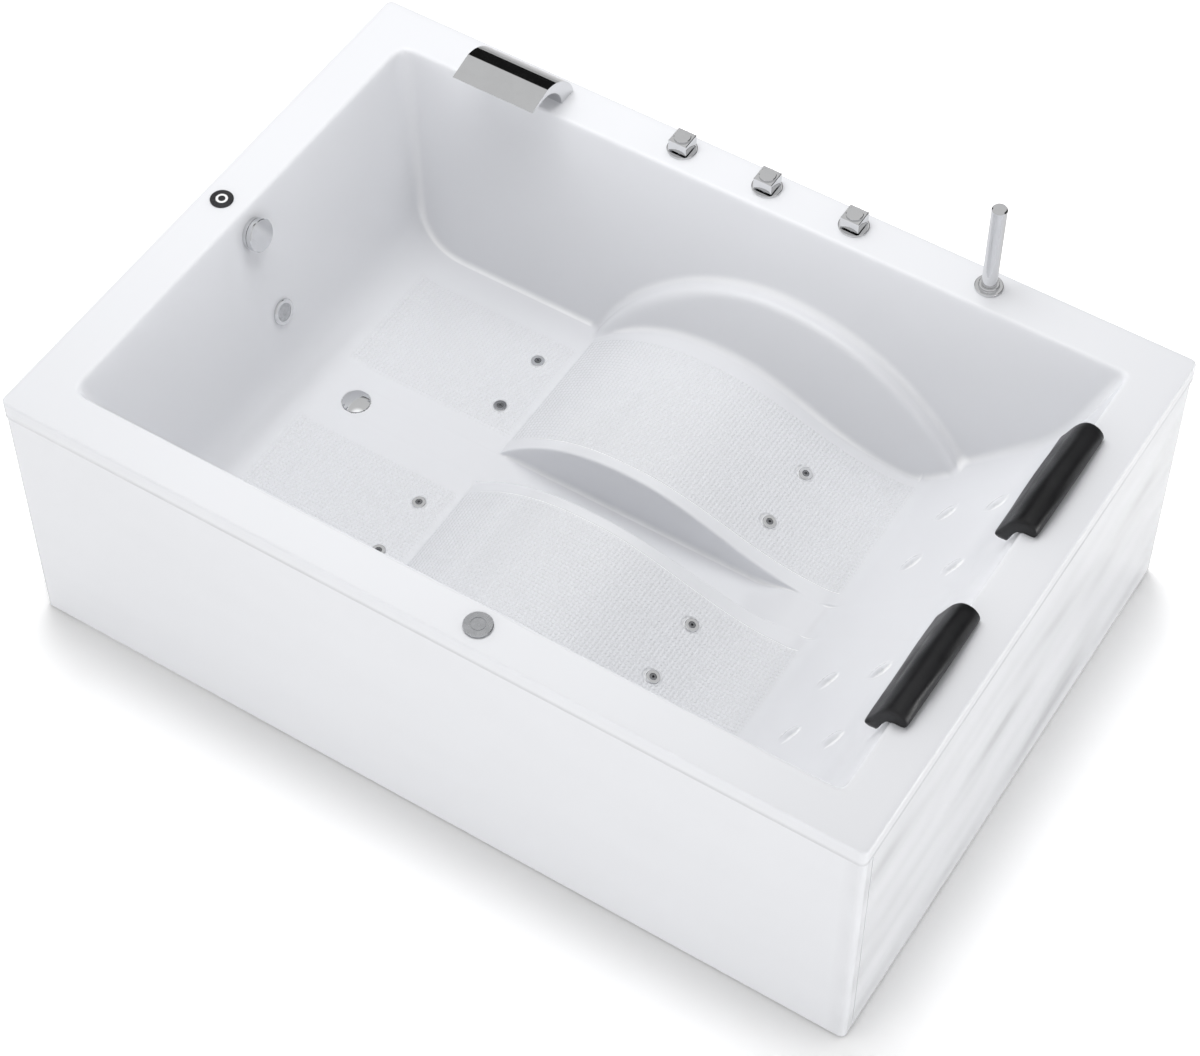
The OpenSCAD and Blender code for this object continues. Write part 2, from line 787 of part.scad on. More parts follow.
// Valves
flange_d = 61;
flange_h = 4;
flange_edge = 1;
handle_gap = 0.4;
handle_neck_d = 30;
handle_neck = 3;
handle_cap_d = 34;
handle_cap_h = 4;
handle_edge = 1;
stem_d = 12;
stem_len = 40;
shank_d = 28;
shank_len = 30;
valve_body_w = 40;
valve_body_h = 42;
port_d = 15;
copper_wall = 1.2;
pipe_wall = 3;
inlet_d = 20.9;
inlet_len = 18;
module valve_escutcheons() {
    color("silver") for (i = [0 : 2]) at_valve(i) difference() {
        capped_disc(flange_d, 0, flange_h, flange_edge);
        disc(stem_d + 2 * running, -over, flange_h + over);
    }
}

module valve_handle(i) {
    z0 = flange_h + handle_gap;
    z1 = z0 + handle_neck;
    z2 = z1 + handle_h;
    w = handle_w;
    e = handle_edge;
    color("silver") at_valve(i) {
        disc(stem_d, -stem_len, z0);
        disc(handle_neck_d, z0, z1);
        translate([-w / 2, -w / 2, z1]) cube([w, w, handle_h - e]);
        translate([0, 0, z2 - e]) linear_extrude(e, scale = (w - 2 * e) / w, slices = 1) square(w, center = true);
        capped_disc(handle_cap_d, z2, z2 + handle_cap_h, e);
    }
}

// Valve body: threaded shank through the rim, a cast block, and an inlet under the first two
mixer_drop = 22;
module valve_bodies() {
    z0 = -shell_t - shank_len;
    z1 = z0 - valve_body_h;
    color("goldenrod") for (i = [0 : 2]) at_valve(i) difference() {
        union() {
            disc(shank_d, z0, 0);
            box(-valve_body_w / 2, valve_body_w / 2, -valve_body_w / 2, valve_body_w / 2, z1, z0);
            if (i < 2) disc(inlet_d, z1 - inlet_len, z1);
        }
        disc(stem_d + 2 * running, -stem_len - seat_gap, over);
    }
}

// Nuts that hold the valves, the spout, the shower holder and the buttons under the rim
deck_nut_h = 8;
module deck_nut(af, bore) {
    difference() {
        hex(af, -shell_t - deck_nut_h, -shell_t);
        disc(bore, -shell_t - deck_nut_h - over, -shell_t + over);
    }
}

nut_margin = 14;
module deck_nuts() {
    color("goldenrod") {
        for (i = [0 : 2]) at_valve(i) deck_nut(shank_d + nut_margin, shank_d + 2 * running);
        translate([spout_x, deck_y, tub_h]) deck_nut(spout_tail_d + nut_margin, spout_tail_d + 2 * running);
    }
}

// Copper pipe that joins the two valves to the diverter, level with their blocks
mixer_z = tub_h - shell_t - shank_len - mixer_drop;
module mixer_pipe() {
    color("peru") for (i = [0 : 1])
        translate([valve_x(i) + valve_body_w / 2, deck_y, mixer_z])
            rotate([0, 90, 0]) cylinder(d = port_d, h = valve_pitch - valve_body_w);
}

// Pipe from the diverter's block to the spout, inside the posts
copper_r = 12;
pipe_off_share = 1.2;
spout_pipe_y = post_ys[1] - tube_w / 2 - pipe_off_share * port_d;
spout_pipe_drop = 160;
spout_pipe_z = tub_h - spout_pipe_drop;
module spout_pipe() {
    x1 = valve_x(2);
    y0 = deck_y - valve_body_w / 2;
    top = tub_h - spout_tail_len;
    color("peru") {
        pipe_run([
            [x1, y0, mixer_z],
            [x1, spout_pipe_y, mixer_z],
            [x1, spout_pipe_y, spout_pipe_z],
            [spout_x, spout_pipe_y, spout_pipe_z],
            [spout_x, deck_y, spout_pipe_z],
            [spout_x, deck_y, top]
        ], port_d, copper_r, copper_wall);
    }
}

// Hand shower, its holder and the sleeve that its hose runs in
holder_flange_d = 55;
holder_flange_h = 5;
collar_d = 40;
collar_h = 11;
holder_shank_d = 44;
holder_shank_len = 60;
shower_tail = 48;
shower_edge = 2.5;
shower_shoulder = 6;
spray_z0 = 140;
spray_pitch = 8;
spray_d = 2.6;
spray_proud = 0.8;
module hand_shower() {
    d = shower_d;
    bottom = collar_h - shower_tail;
    color("silver") translate([shower_x, deck_y, tub_h]) {
        capped_disc(d, collar_h + handle_gap, shower_h, shower_edge);
        disc(d - shower_shoulder, bottom, collar_h + handle_gap);
        for (row = [0 : 6], a = [-18, 0, 18])
            translate([0, 0, spray_z0 + row * spray_pitch])
                rotate([-90, 0, a]) disc(spray_d, 0, d / 2 + spray_proud);
    }
}

module shower_holder() {
    bore = shower_d - shower_shoulder + 2 * running;
    color("silver") translate([shower_x, deck_y, tub_h]) difference() {
        union() {
            capped_disc(holder_flange_d, 0, holder_flange_h, flange_edge);
            capped_disc(collar_d, holder_flange_h, collar_h, flange_edge);
            disc(holder_shank_d, -holder_shank_len, 0);
            hex(holder_flange_d, -shell_t - deck_nut_h, -shell_t);
        }
        disc(bore, -holder_shank_len - over, collar_h + over);
    }
}

sleeve_d = 56;
sleeve_wall = 3;
sleeve_len = 250;
module hose_sleeve() {
    z1 = -shell_t - deck_nut_h - seat_gap;
    color("gainsboro") translate([shower_x, deck_y, tub_h]) difference() {
        disc(sleeve_d, z1 - sleeve_len, z1);
        disc(holder_shank_d + 2 * seat_gap, -holder_shank_len - sleeve_wall, z1 + over);
        disc(sleeve_d - 2 * sleeve_wall, z1 - sleeve_len + sleeve_wall, -holder_shank_len - sleeve_wall);
    }
}

// Pipe from the diverter to the foot of the sleeve
module shower_pipe() {
    z_end = tub_h - shell_t - deck_nut_h - seat_gap - sleeve_len;
    low = z_end - 3 * copper_r;
    x0 = valve_x(2) + valve_body_w / 2;
    x1 = x0 + 3 * copper_r;
    color("peru") pipe_run([
        [x0, deck_y, mixer_z],
        [x1, deck_y, mixer_z],
        [x1, spout_pipe_y, mixer_z],
        [x1, spout_pipe_y, low],
        [shower_x, spout_pipe_y, low],
        [shower_x, deck_y, low],
        [shower_x, deck_y, z_end]
    ], port_d, copper_r, copper_wall);
}

// Overflow: fixed ring, turning knob, and the housing behind the wall
ring_h = 9;
knob_gap = 1.2;
knob_h = 11.5;
knob_neck_d = 50;
knob_stem_d = 14;
knob_stem_len = 26;
overflow_shank_d = 38;
overflow_body_d = 62;
overflow_body_h = 26;
module overflow_ring() {
    color("silver") on_foot_wall(knob_z) difference() {
        union() {
            disc(knob_d, 0, ring_h);
            disc(overflow_shank_d, -shell_t - seat_gap, 0);
        }
        disc(knob_stem_d + 2 * running, -shell_t - over, ring_h + over);
    }
}

module overflow_knob() {
    z0 = ring_h + knob_gap;
    color("silver") on_foot_wall(knob_z) {
        disc(knob_stem_d, -knob_stem_len, ring_h);
        disc(knob_neck_d, ring_h + seat_gap, z0);
        disc(knob_stem_d, ring_h, ring_h + seat_gap);
        capped_disc(knob_d, z0, z0 + knob_h, handle_edge);
    }
}

overflow_pipe_d = 32;
drop_x = open_x0 + wall_in(knob_z) - overflow_body_h;
stub_drop = 50;
stub_z = knob_z - stub_drop;
stub_len = 30;
module overflow_body() {
    z1 = -shell_t - seat_gap;
    color("gainsboro") difference() {
        union() {
            on_foot_wall(knob_z) {
                disc(overflow_body_d + nut_margin, z1 - flange_h, z1);
                disc(overflow_body_d, z1 - overflow_body_h, z1 - flange_h);
            }
            translate([drop_x, bath_y, stub_z]) disc(overflow_pipe_d + 2 * pipe_wall, 0, stub_len);
        }
        on_foot_wall(knob_z) disc(knob_stem_d + 2 * running, -knob_stem_len - seat_gap, z1 + over);
    }
}

drain_tail_d = 46;
drain_body_d = 60;
waste_z = 90;
waste_r = 40;
waste_d = 40;
module overflow_pipe() {
    color("gainsboro")
        pipe_run([
            [drop_x, bath_y, stub_z],
            [drop_x, bath_y, waste_z],
            [drain_x - drain_body_d / 2, bath_y, waste_z]
        ], overflow_pipe_d, waste_r, pipe_wall);
}

cable_d = 7;
cable_wall = 0.6;
cable_off = 24;
cable_y = bath_y + cable_off;
cable_chord = sqrt(pow(drain_body_d / 2, 2) - pow(cable_off - cable_d / 2, 2));
module pull_cable() {
    color("dimgray")
        pipe_run([
            [drop_x, cable_y, knob_z - overflow_body_d / 2],
            [drop_x, cable_y, waste_z + 2 * cable_d],
            [drain_x - cable_chord - seat_gap, cable_y, waste_z + 2 * cable_d]
        ], cable_d, waste_r, cable_wall);
}

// Drain: flange in its seat, lifting plug, and the body below
drain_flange_t = 2;
drain_bore = 40;
plug_lift = 10;
plug_dome = 4;
plug_stem_d = 9;
plug_stem_len = 60;
plug_skirt_d = 38;
spider_t = 4;
module drain_flange() {
    z0 = -drain_seat;
    color("silver") translate([drain_x, bath_y, floor_h]) difference() {
        union() {
            disc(drain_seat_d - 2 * seat_gap, z0, z0 + drain_flange_t);
            disc(drain_tail_d, z0 - shell_t - board_t, z0);
        }
        difference() {
            disc(drain_bore, z0 - shell_t - board_t - over, over);
            translate([0, 0, z0 - shell_t - board_t]) linear_extrude(spider_t) {
                square([drain_tail_d, plug_stem_d], center = true);
                square([plug_stem_d, drain_tail_d], center = true);
                circle(d = 2 * plug_stem_d);
            }
        }
        disc(plug_stem_d + 2 * running, z0 - shell_t - board_t - over, over);
    }
}

module drain_plug() {
    z0 = -drain_seat + drain_flange_t + seat_gap;
    dome_r = (pow(plug_d / 2, 2) + pow(plug_dome, 2)) / (2 * plug_dome);
    color("silver") translate([drain_x, bath_y, floor_h]) {
        disc(plug_d, z0, z0 + drain_flange_t);
        translate([0, 0, z0 + drain_flange_t]) intersection() {
            disc(plug_d, 0, plug_dome + over);
            translate([0, 0, plug_dome - dome_r]) sphere(dome_r, $fn = 96);
        }
        disc(plug_skirt_d, z0 - spider_t, z0);
        disc(plug_stem_d, -plug_stem_len, z0 - spider_t);
    }
}

module drain_body() {
    z1 = floor_under - board_t;
    color("gainsboro") translate([drain_x, bath_y, 0]) difference() {
        union() {
            disc(board_drain_hole - nut_margin, z1, floor_under);
            disc(drain_body_d, waste_z - waste_d / 2 - flange_h, z1);
        }
        disc(drain_tail_d + 2 * seat_gap, floor_h - drain_seat - shell_t - board_t, floor_under + over);
        disc(drain_bore, waste_z, z1 + over);
    }
}

// Trap: a U bend on its way to the outlet that leads to the back
trap_r = 26;
trap_dip = 56;
outlet_in = 110;
outlet_y = back_y - outlet_in;
outlet_len = 60;
outlet_bore = 36;
module waste_trap() {
    x0 = drain_x + drain_body_d / 2;
    x1 = x0 + 2 * trap_r;
    y1 = bath_y + 3 * trap_r;
    y2 = y1 + 3 * trap_r;
    color("gainsboro") {
        pipe_run([
            [x0, bath_y, waste_z],
            [x1, bath_y, waste_z],
            [x1, y1, waste_z],
            [x1, y1, waste_z - trap_dip],
            [x1, y2, waste_z - trap_dip],
            [x1, y2, waste_z],
            [x1, outlet_y - outlet_len, waste_z]
        ], waste_d, trap_r, pipe_wall);
        translate([x1, outlet_y - outlet_len, waste_z]) rotate([-90, 0, 0]) difference() {
            disc(waste_d + 2 * pipe_wall, -socket_in, outlet_len);
            disc(outlet_bore, flange_h, outlet_len + over);
        }
    }
}

// Start button on the foot end's rim
start_bezel_h = 3;
start_shank_len = 40;
start_cap_d = 24;
start_centre_d = 14;
start_stroke = 2;
start_stem_d = 8;
module start_bezel() {
    color([0.07, 0.07, 0.08]) translate([start_x, bath_y, tub_h]) difference() {
        union() {
            capped_disc(start_d, 0, start_bezel_h, flange_edge);
            disc(start_hole - 2 * seat_gap, -start_shank_len, 0);
            hex(start_hole + nut_margin, -shell_t - deck_nut_h, -shell_t);
        }
        disc(start_cap_d + 2 * running, -2 * start_stroke, start_bezel_h + over);
        disc(start_stem_d + 2 * running, -start_shank_len / 2, 0);
    }
}

module start_button() {
    color([0.07, 0.07, 0.08]) translate([start_x, bath_y, tub_h]) {
        disc(start_cap_d, -start_stroke + seat_gap, start_stroke / 2);
        disc(start_centre_d, start_stroke / 2, start_bezel_h);
        disc(start_stem_d, -start_shank_len / 2 + start_stroke + seat_gap, -start_stroke + seat_gap);
    }
}

module start_ring() {
    color("white") translate([start_x, bath_y, tub_h]) difference() {
        disc(start_cap_d, start_stroke / 2, start_bezel_h);
        disc(start_centre_d, start_stroke / 2 - over, start_bezel_h + over);
    }
}

// Air control on the front rim, and its pipe to the jets
air_knob_h = 5;
air_skirt = 1;
air_centre_d = 26;
air_groove = 1.4;
air_stem_d = 16;
air_stem_len = 22;
air_body_len = 46;
air_pipe_d = 14;
air_drop_d = 20;
module air_body() {
    color("gainsboro") translate([air_x, air_y, tub_h]) difference() {
        union() {
            disc(air_knob_d - nut_margin, 0, air_skirt);
            disc(air_hole - 2 * seat_gap, -air_body_len, 0);
            hex(air_hole + nut_margin, -shell_t - deck_nut_h, -shell_t);
        }
        disc(air_stem_d + 2 * running, -air_stem_len - seat_gap, air_skirt + over);
    }
}

module air_knob() {
    z0 = air_skirt + seat_gap;
    color("darkgray") translate([air_x, air_y, tub_h]) {
        difference() {
            capped_disc(air_knob_d, z0, air_knob_h, flange_edge);
            difference() {
                disc(air_centre_d + 2 * air_groove, air_knob_h - air_groove, air_knob_h + over);
                disc(air_centre_d, air_knob_h - air_groove - over, air_knob_h + 2 * over);
            }
        }
        disc(air_stem_d, -air_stem_len, z0);
    }
}

air_z = rail_z0 - tube_w / 3;
air_row_gap = 36;
air_row_x = [foot_jet_x + air_row_gap, seat_row_x - air_row_gap];
air_line_y = bath_y - jet_outer - 2 * air_row_gap;
air_wall = 2;
air_branch_d = 8;
module air_pipe() {
    r = air_row_gap / 2;
    y_drop = open_y0 + wall_foot - 2 * air_row_gap;
    z_turn = tub_h - 2 * air_body_len;
    tee = air_pipe_d + 2 * air_wall;
    color("gainsboro") {
        pipe_run([
            [air_x, air_y, tub_h - air_body_len],
            [air_x, air_y, z_turn],
            [air_x, y_drop, z_turn - 2 * (y_drop - air_y)],
            [air_x, y_drop, air_z],
            [air_x, air_line_y, air_z]
        ], air_pipe_d, r, air_wall);
        translate([air_row_x[0], air_line_y, air_z])
            rotate([0, 90, 0]) cylinder(d = air_pipe_d, h = air_row_x[1] - air_row_x[0]);
        for (x = air_row_x)
            translate([x, air_line_y, air_z])
                rotate([-90, 0, 0]) cylinder(d = air_pipe_d, h = jet_ys[0] - air_line_y);
        for (x = concat(air_row_x, [air_x])) translate([x, air_line_y, air_z]) sphere(d = tee);
        for (x = air_row_x) translate([x, jet_ys[0], air_z]) sphere(d = tee);
        for (k = [0, 1], y = jet_ys)
            translate([air_row_x[k], y, air_z])
                rotate([0, k == 0 ? -90 : 90, 0])
                    disc(air_branch_d, 0, air_row_gap - riser_d / 2);
    }
}

// Underwater light in the foot wall
light_d = 54;
light_t = 5;
lens_d = 38;
light_shank_len = 34;
lens_proud = 2;
module light_bezel() {
    color("silver") on_foot_wall(light_z) difference() {
        union() {
            capped_disc(light_d, 0, light_t, flange_edge);
            disc(light_hole - 2 * seat_gap, -light_shank_len, 0);
            hex(light_d, -shell_t - deck_nut_h - seat_gap, -shell_t - seat_gap);
        }
        disc(lens_d + 2 * running, light_t - flange_h, light_t + over);
    }
}

module light_lens() {
    color("lightgray") on_foot_wall(light_z) disc(lens_d, light_t - flange_h, light_t - lens_proud / 2);
}

// Suction grille low in the front wall, and its pipe to the pump
grille_d = 92;
grille_t = 8;
grille_edge = 3;
grille_slots = 9;
slot_pitch = 5;
slot_w = 2.5;
suction_shank_d = 50;
suction_len = 34;
module suction_grille() {
    color("silver") on_front_wall(suction_x, suction_z) difference() {
        union() {
            capped_disc(grille_d, 0, grille_t, grille_edge);
            disc(suction_shank_d, -shell_t - suction_len, 0);
            hex(grille_d - nut_margin, -shell_t - deck_nut_h - seat_gap, -shell_t - seat_gap);
        }
        disc(suction_shank_d - 2 * flange_h, -shell_t - suction_len - over, grille_t - flange_h);
        intersection() {
            disc(suction_shank_d - 2 * flange_h, 0, grille_t + over);
            for (k = [0 : grille_slots - 1])
                translate([0, (k - (grille_slots - 1) / 2) * slot_pitch, grille_t])
                    cube([grille_d, slot_w, 3 * grille_t], center = true);
        }
    }
}

// Pump under the backrest, with its axis across the tub
pump_in = 180;
pump_x = right_x - pump_in;
tray_t = 12;
tray_z = rail_z0 + tray_t;
pump_foot_h = 26;
pump_z = tray_z + pump_foot_h + motor_d / 2;
pump_off = 16;
pump_y0 = bath_y - pump_off;
motor_len = 190;
fan_cover_len = 36;
volute_d = 150;
volute_len = 54;
port_len = 44;
supply_drop = 44;
supply_z = cross_z0 - supply_drop;
manifold_d = 32;
riser_d = 24;
manifold_gap = 20;
manifold_z = rail_z0 - manifold_gap - manifold_d / 2;
suction_y = pump_y0 - volute_len - port_len;
suction_out = 36;
riser_gap = 57;
riser_y = suction_y - riser_gap;
pipe_r = 34;
module suction_pipe() {
    n = [0, cos(wall_draft), sin(wall_draft)];
    p = [suction_x, open_y0 + wall_in(suction_z), suction_z];
    a = p - n * (shell_t + suction_len);
    color("gainsboro")
        pipe_run([
            a,
            a - n * suction_out,
            [a[0], a[1] - n[1] * suction_out, supply_z],
            [pump_x, a[1] - n[1] * suction_out, supply_z],
            [pump_x, riser_y, supply_z],
            [pump_x, riser_y, pump_z],
            [pump_x, suction_y, pump_z]
        ], pipe_d, pipe_r, pipe_wall);
}

tray_len = 400;
fin_h = 5;
discharge_x = pump_x - volute_d / 2 + pipe_d / 2 + fin_h;
discharge_y = pump_y0 - volute_len / 2;
tray_hole = 58;
module pump_tray() {
    half = rail_off - tube_w / 2;
    x1 = frame_xs[3] + tube_w / 2;
    color("burlywood") difference() {
        box(x1 - tray_len, x1, bath_y - half, bath_y + half, rail_z0, tray_z);
        translate([discharge_x, discharge_y, rail_z0]) disc(tray_hole, -over, tray_t + over);
        translate([pump_x, riser_y, rail_z0]) disc(tray_hole - 2 * fin_h, -over, tray_t + over);
    }
}

fins = 28;
fin_w = 3;
motor_feet_w = 90;
module pump_motor() {
    color("steelblue") translate([pump_x, pump_y0, pump_z]) {
        rotate([-90, 0, 0]) {
            linear_extrude(motor_len) {
                circle(d = motor_d - 2 * fin_h);
                for (k = [0 : fins - 1])
                    rotate(360 * k / fins)
                        translate([motor_d / 2 - fin_h - over, -fin_w / 2]) square([fin_h + over, fin_w]);
            }
            disc(motor_d, 0, 2 * fin_h);
            difference() {
                capped_disc(motor_d + fin_h, motor_len, motor_len + fan_cover_len, fin_h);
                for (k = [0 : 11], ring = [1, 2])
                    rotate(30 * k)
                        translate([ring * motor_d / 6, 0, motor_len + fan_cover_len - fin_h])
                            disc(2 * fin_h, 0, fin_h + over);
            }
        }
        translate([-motor_feet_w / 2, motor_len / 5, -pump_foot_h - motor_d / 2]) {
            cube([motor_feet_w, motor_len / 2, fin_h]);
            for (s = [0, 1])
                translate([s * (motor_feet_w - 2 * fin_h), 0, 0])
                    cube([2 * fin_h, motor_len / 2, pump_foot_h + motor_d / 4]);
        }
        translate([-motor_d / 4, motor_len / 4, motor_d / 2 - fin_h])
            cube([motor_d / 2, motor_len / 2, motor_d / 5]);
    }
}

module pump_wet_end() {
    color([0.15, 0.15, 0.16]) translate([pump_x, pump_y0, pump_z]) {
        rotate([90, 0, 0]) {
            disc(volute_d, seat_gap, volute_len);
            disc(pipe_d + nut_margin, volute_len, volute_len + port_len);
            for (k = [0 : 7])
                rotate(45 * k + 22.5) translate([volute_d / 2 - fin_h, 0, 0]) disc(3 * fin_h, seat_gap, volute_len / 2);
        }
        translate([discharge_x - pump_x, discharge_y - pump_y0, 0])
            rotate([180, 0, 0]) disc(pipe_d + nut_margin, 0, pump_z - supply_z - 2 * pipe_d);
        translate([-motor_feet_w / 2, -volute_len, -pump_foot_h - motor_d / 2])
            cube([motor_feet_w, volute_len - over, pump_foot_h]);
    }
}

// Supply pipe and the two manifolds under the jets
tee_len = 60;
module supply_pipe() {
    x1 = discharge_x;
    y1 = discharge_y;
    y0 = bath_y + rail_off / 2;
    tee = pipe_d + 2 * pipe_wall;
    color("gainsboro") {
        pipe_run([
            [foot_jet_x, y0, supply_z],
            [x1 - 2 * pipe_d, y0, supply_z],
            [x1 - 2 * pipe_d, y1, supply_z],
            [x1, y1, supply_z],
            [x1, y1, supply_z + 2 * pipe_d]
        ], pipe_d, pipe_r, pipe_wall);
        for (x = [foot_jet_x, seat_row_x]) {
            translate([x - tee_len / 2, y0, supply_z]) rotate([0, 90, 0]) disc(tee, 0, tee_len);
            translate([x, y0, supply_z]) disc(manifold_d, 0, manifold_z - supply_z);
            translate([x, jet_ys[3] - manifold_d, manifold_z])
                rotate([-90, 0, 0]) cylinder(d = manifold_d + over, h = jet_ys[0] - jet_ys[3] + 2 * manifold_d);
            for (y = jet_ys) translate([x, y, manifold_z]) disc(riser_d, 0, manifold_d / 2 + flange_h);
        }
    }
}

// Control box on a back post, with glands for its leads
box_w = 150;
box_h = 170;
box_depth = 70;
gland_d = 24;
gland_bore = 9;
gland_len = 22;
module control_box() {
    y1 = post_ys[1] - tube_w / 2;
    z0 = spout_pipe_z - 2 * port_d - box_h;
    color("lightgray") difference() {
        union() {
            translate([frame_xs[1] - box_w / 2, y1 - box_depth, z0]) cube([box_w, box_depth, box_h]);
            for (s = [-1, 1])
                translate([frame_xs[1] + s * box_w / 4, y1 - box_depth / 2, z0])
                    rotate([180, 0, 0]) disc(gland_d, 0, gland_len);
        }
        for (s = [-1, 1])
            translate([frame_xs[1] + s * box_w / 4, y1 - box_depth / 2, z0])
                rotate([180, 0, 0]) disc(gland_bore, -over, gland_len + over);
    }
}

// Jets: body under the shell, chrome face ring, and a ball nozzle that swivels
jet_flange_d = 40;
jet_flange_t = 6;
jet_body_d = 30;
jet_ring_h = 2.4;
jet_ring_edge = 1;
jet_ring_shank = 20;
jet_ring_shank_len = 17;
ball_sink = 2.6;
nozzle_d = 8;
nozzle_bore = 5;
elbow_d = 34;
module jet_body() {
    z1 = -shell_t - seat_gap;
    difference() {
        union() {
            disc(jet_flange_d, z1 - jet_flange_t, z1);
            disc(jet_body_d, -jet_drop, z1 - jet_flange_t);
        }
        disc(jet_ring_shank + 2 * seat_gap, -jet_ring_shank_len - seat_gap, over);
    }
}

module jet_bodies() {
    z_stub = manifold_z + manifold_d / 2 + flange_h;
    z_foot = floor_h - jet_drop;
    z_seat = seat_jet_z - cos(seat_jet_slope) * jet_drop;
    color("gainsboro") {
        for (i = [0 : 3]) {
            at_foot_jet(i) jet_body();
            translate([foot_jet_x, jet_ys[i], 0]) disc(riser_d, z_stub, z_foot + over);
            at_seat_jet(i) jet_body();
            translate([seat_row_x, jet_ys[i], z_seat]) sphere(d = elbow_d);
            translate([seat_row_x, jet_ys[i], 0]) disc(riser_d, z_stub, z_seat);
        }
    }
}

module jet_rings() {
    color("silver") at_all_jets() difference() {
        union() {
            capped_disc(jet_d, 0, jet_ring_h, jet_ring_edge);
            disc(jet_ring_shank, -jet_ring_shank_len, 0);
        }
        translate([0, 0, -ball_sink]) sphere(d = ball_d + 2 * running);
        disc(ball_d - 2 * over, -ball_sink, jet_ring_h + over);
        disc(nozzle_d + 2 * over, -jet_ring_shank_len - over, -ball_sink);
    }
}

module jet_ball() {
    translate([0, 0, -ball_sink]) difference() {
        intersection() {
            sphere(d = ball_d);
            disc(ball_d, -ball_d / 3, ball_d / 3);
        }
        disc(nozzle_bore, -ball_d / 2, ball_d / 2);
    }
}

tub_shell();
base_board();
seat_battens();
cradle_rails();
cross_tubes();
rim_posts();
leveling_feet();
apron_front();
apron_side();
apron_clips();
pillow(bath_y + pillow_off);  // pillow_back
pillow(bath_y - pillow_off);  // pillow_front
waterfall_spout();
deck_nuts();
valve_escutcheons();
valve_handle(0);  // hot_handle
valve_handle(1);  // cold_handle
valve_handle(2);  // diverter_handle
valve_bodies();
mixer_pipe();
spout_pipe();
shower_pipe();
hand_shower();
shower_holder();
hose_sleeve();
overflow_ring();
overflow_knob();
overflow_body();
overflow_pipe();
pull_cable();
drain_flange();
drain_plug();
drain_body();
waste_trap();
start_bezel();
start_button();
start_ring();
air_knob();
air_body();
air_pipe();
light_bezel();
light_lens();
suction_grille();
suction_pipe();
pump_wet_end();
pump_motor();
pump_tray();
supply_pipe();
control_box();
jet_bodies();
jet_rings();
color("gray") at_foot_jet(0) jet_ball();  // foot_jet_1
color("gray") at_foot_jet(1) jet_ball();  // foot_jet_2
color("gray") at_foot_jet(2) jet_ball();  // foot_jet_3
color("gray") at_foot_jet(3) jet_ball();  // foot_jet_4
color("gray") at_seat_jet(0) jet_ball();  // seat_jet_1
color("gray") at_seat_jet(1) jet_ball();  // seat_jet_2
color("gray") at_seat_jet(2) jet_ball();  // seat_jet_3
color("gray") at_seat_jet(3) jet_ball();  // seat_jet_4
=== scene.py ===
import json
import math

import bpy
import numpy as np
from bpy.props import FloatProperty, FloatVectorProperty, IntProperty, PointerProperty
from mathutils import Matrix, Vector


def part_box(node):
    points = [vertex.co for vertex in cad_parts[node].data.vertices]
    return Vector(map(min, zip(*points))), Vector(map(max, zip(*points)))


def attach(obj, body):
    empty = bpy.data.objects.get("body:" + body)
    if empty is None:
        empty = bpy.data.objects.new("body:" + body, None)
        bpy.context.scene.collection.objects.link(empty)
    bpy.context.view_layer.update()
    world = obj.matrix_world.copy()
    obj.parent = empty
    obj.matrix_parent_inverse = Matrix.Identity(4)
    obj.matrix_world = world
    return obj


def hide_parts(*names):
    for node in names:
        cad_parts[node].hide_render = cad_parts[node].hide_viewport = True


bl_info = {
    "name": "Jetted bathtub",
    "version": (1, 0, 0),
    "blender": (4, 5, 0),
    "location": "3D View > Sidebar > Bathtub",
    "description": "Dresses the frame of a two-person jetted bathtub with its moulding, pillows and finishes",
    "category": "Object",
}

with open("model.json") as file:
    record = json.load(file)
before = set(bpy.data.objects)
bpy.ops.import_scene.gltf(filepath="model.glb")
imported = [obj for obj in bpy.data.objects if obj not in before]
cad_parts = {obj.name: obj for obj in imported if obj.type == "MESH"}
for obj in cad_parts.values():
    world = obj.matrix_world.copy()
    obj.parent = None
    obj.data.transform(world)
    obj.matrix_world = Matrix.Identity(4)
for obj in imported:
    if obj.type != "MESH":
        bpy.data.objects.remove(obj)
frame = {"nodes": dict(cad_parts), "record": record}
NODES = frame["nodes"]
SHELL_LOW, SHELL_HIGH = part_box("tub_shell")
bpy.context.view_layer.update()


# Sizes and colours

class TubSizes(bpy.types.PropertyGroup):
    """Sizes of the moulded tub"""

    rim_height: FloatProperty(
        name="Rim height", description="Height of the rim's top above the ground",
        default=SHELL_HIGH.z, min=0.5, max=0.8, unit="LENGTH")
    floor_height: FloatProperty(
        name="Floor height", description="Height of the bathing floor above the ground",
        default=0.202, min=0.15, max=0.3, unit="LENGTH")
    skin: FloatProperty(
        name="Shell thickness", description="Thickness of the moulded shell",
        default=0.006, min=0.003, max=0.01, unit="LENGTH")
    skirt: FloatProperty(
        name="Skirt height", description="Height of the skirt that turns down from the rim",
        default=0.044, min=0.02, max=0.08, unit="LENGTH")
    draft: FloatProperty(
        name="Wall lean", description="Lean of the bath walls from upright",
        default=math.radians(14.4), min=0.1, max=0.4, unit="ROTATION")
    crest_rise: FloatProperty(
        name="Knee crest", description="Height of the knee crest above the bathing floor",
        default=0.110, min=0.08, max=0.14, unit="LENGTH")
    seat_rise: FloatProperty(
        name="Seat rise", description="Height of the seats above the bathing floor",
        default=0.028, min=0.01, max=0.05, unit="LENGTH")
    channel: FloatProperty(
        name="Channel width", description="Width of the channel between the lounges",
        default=0.084, min=0.05, max=0.12, unit="LENGTH")
    bump_height: FloatProperty(
        name="Massage bump", description="Height of the massage bumps on the backrest",
        default=0.0085, min=0.0, max=0.012, unit="LENGTH")


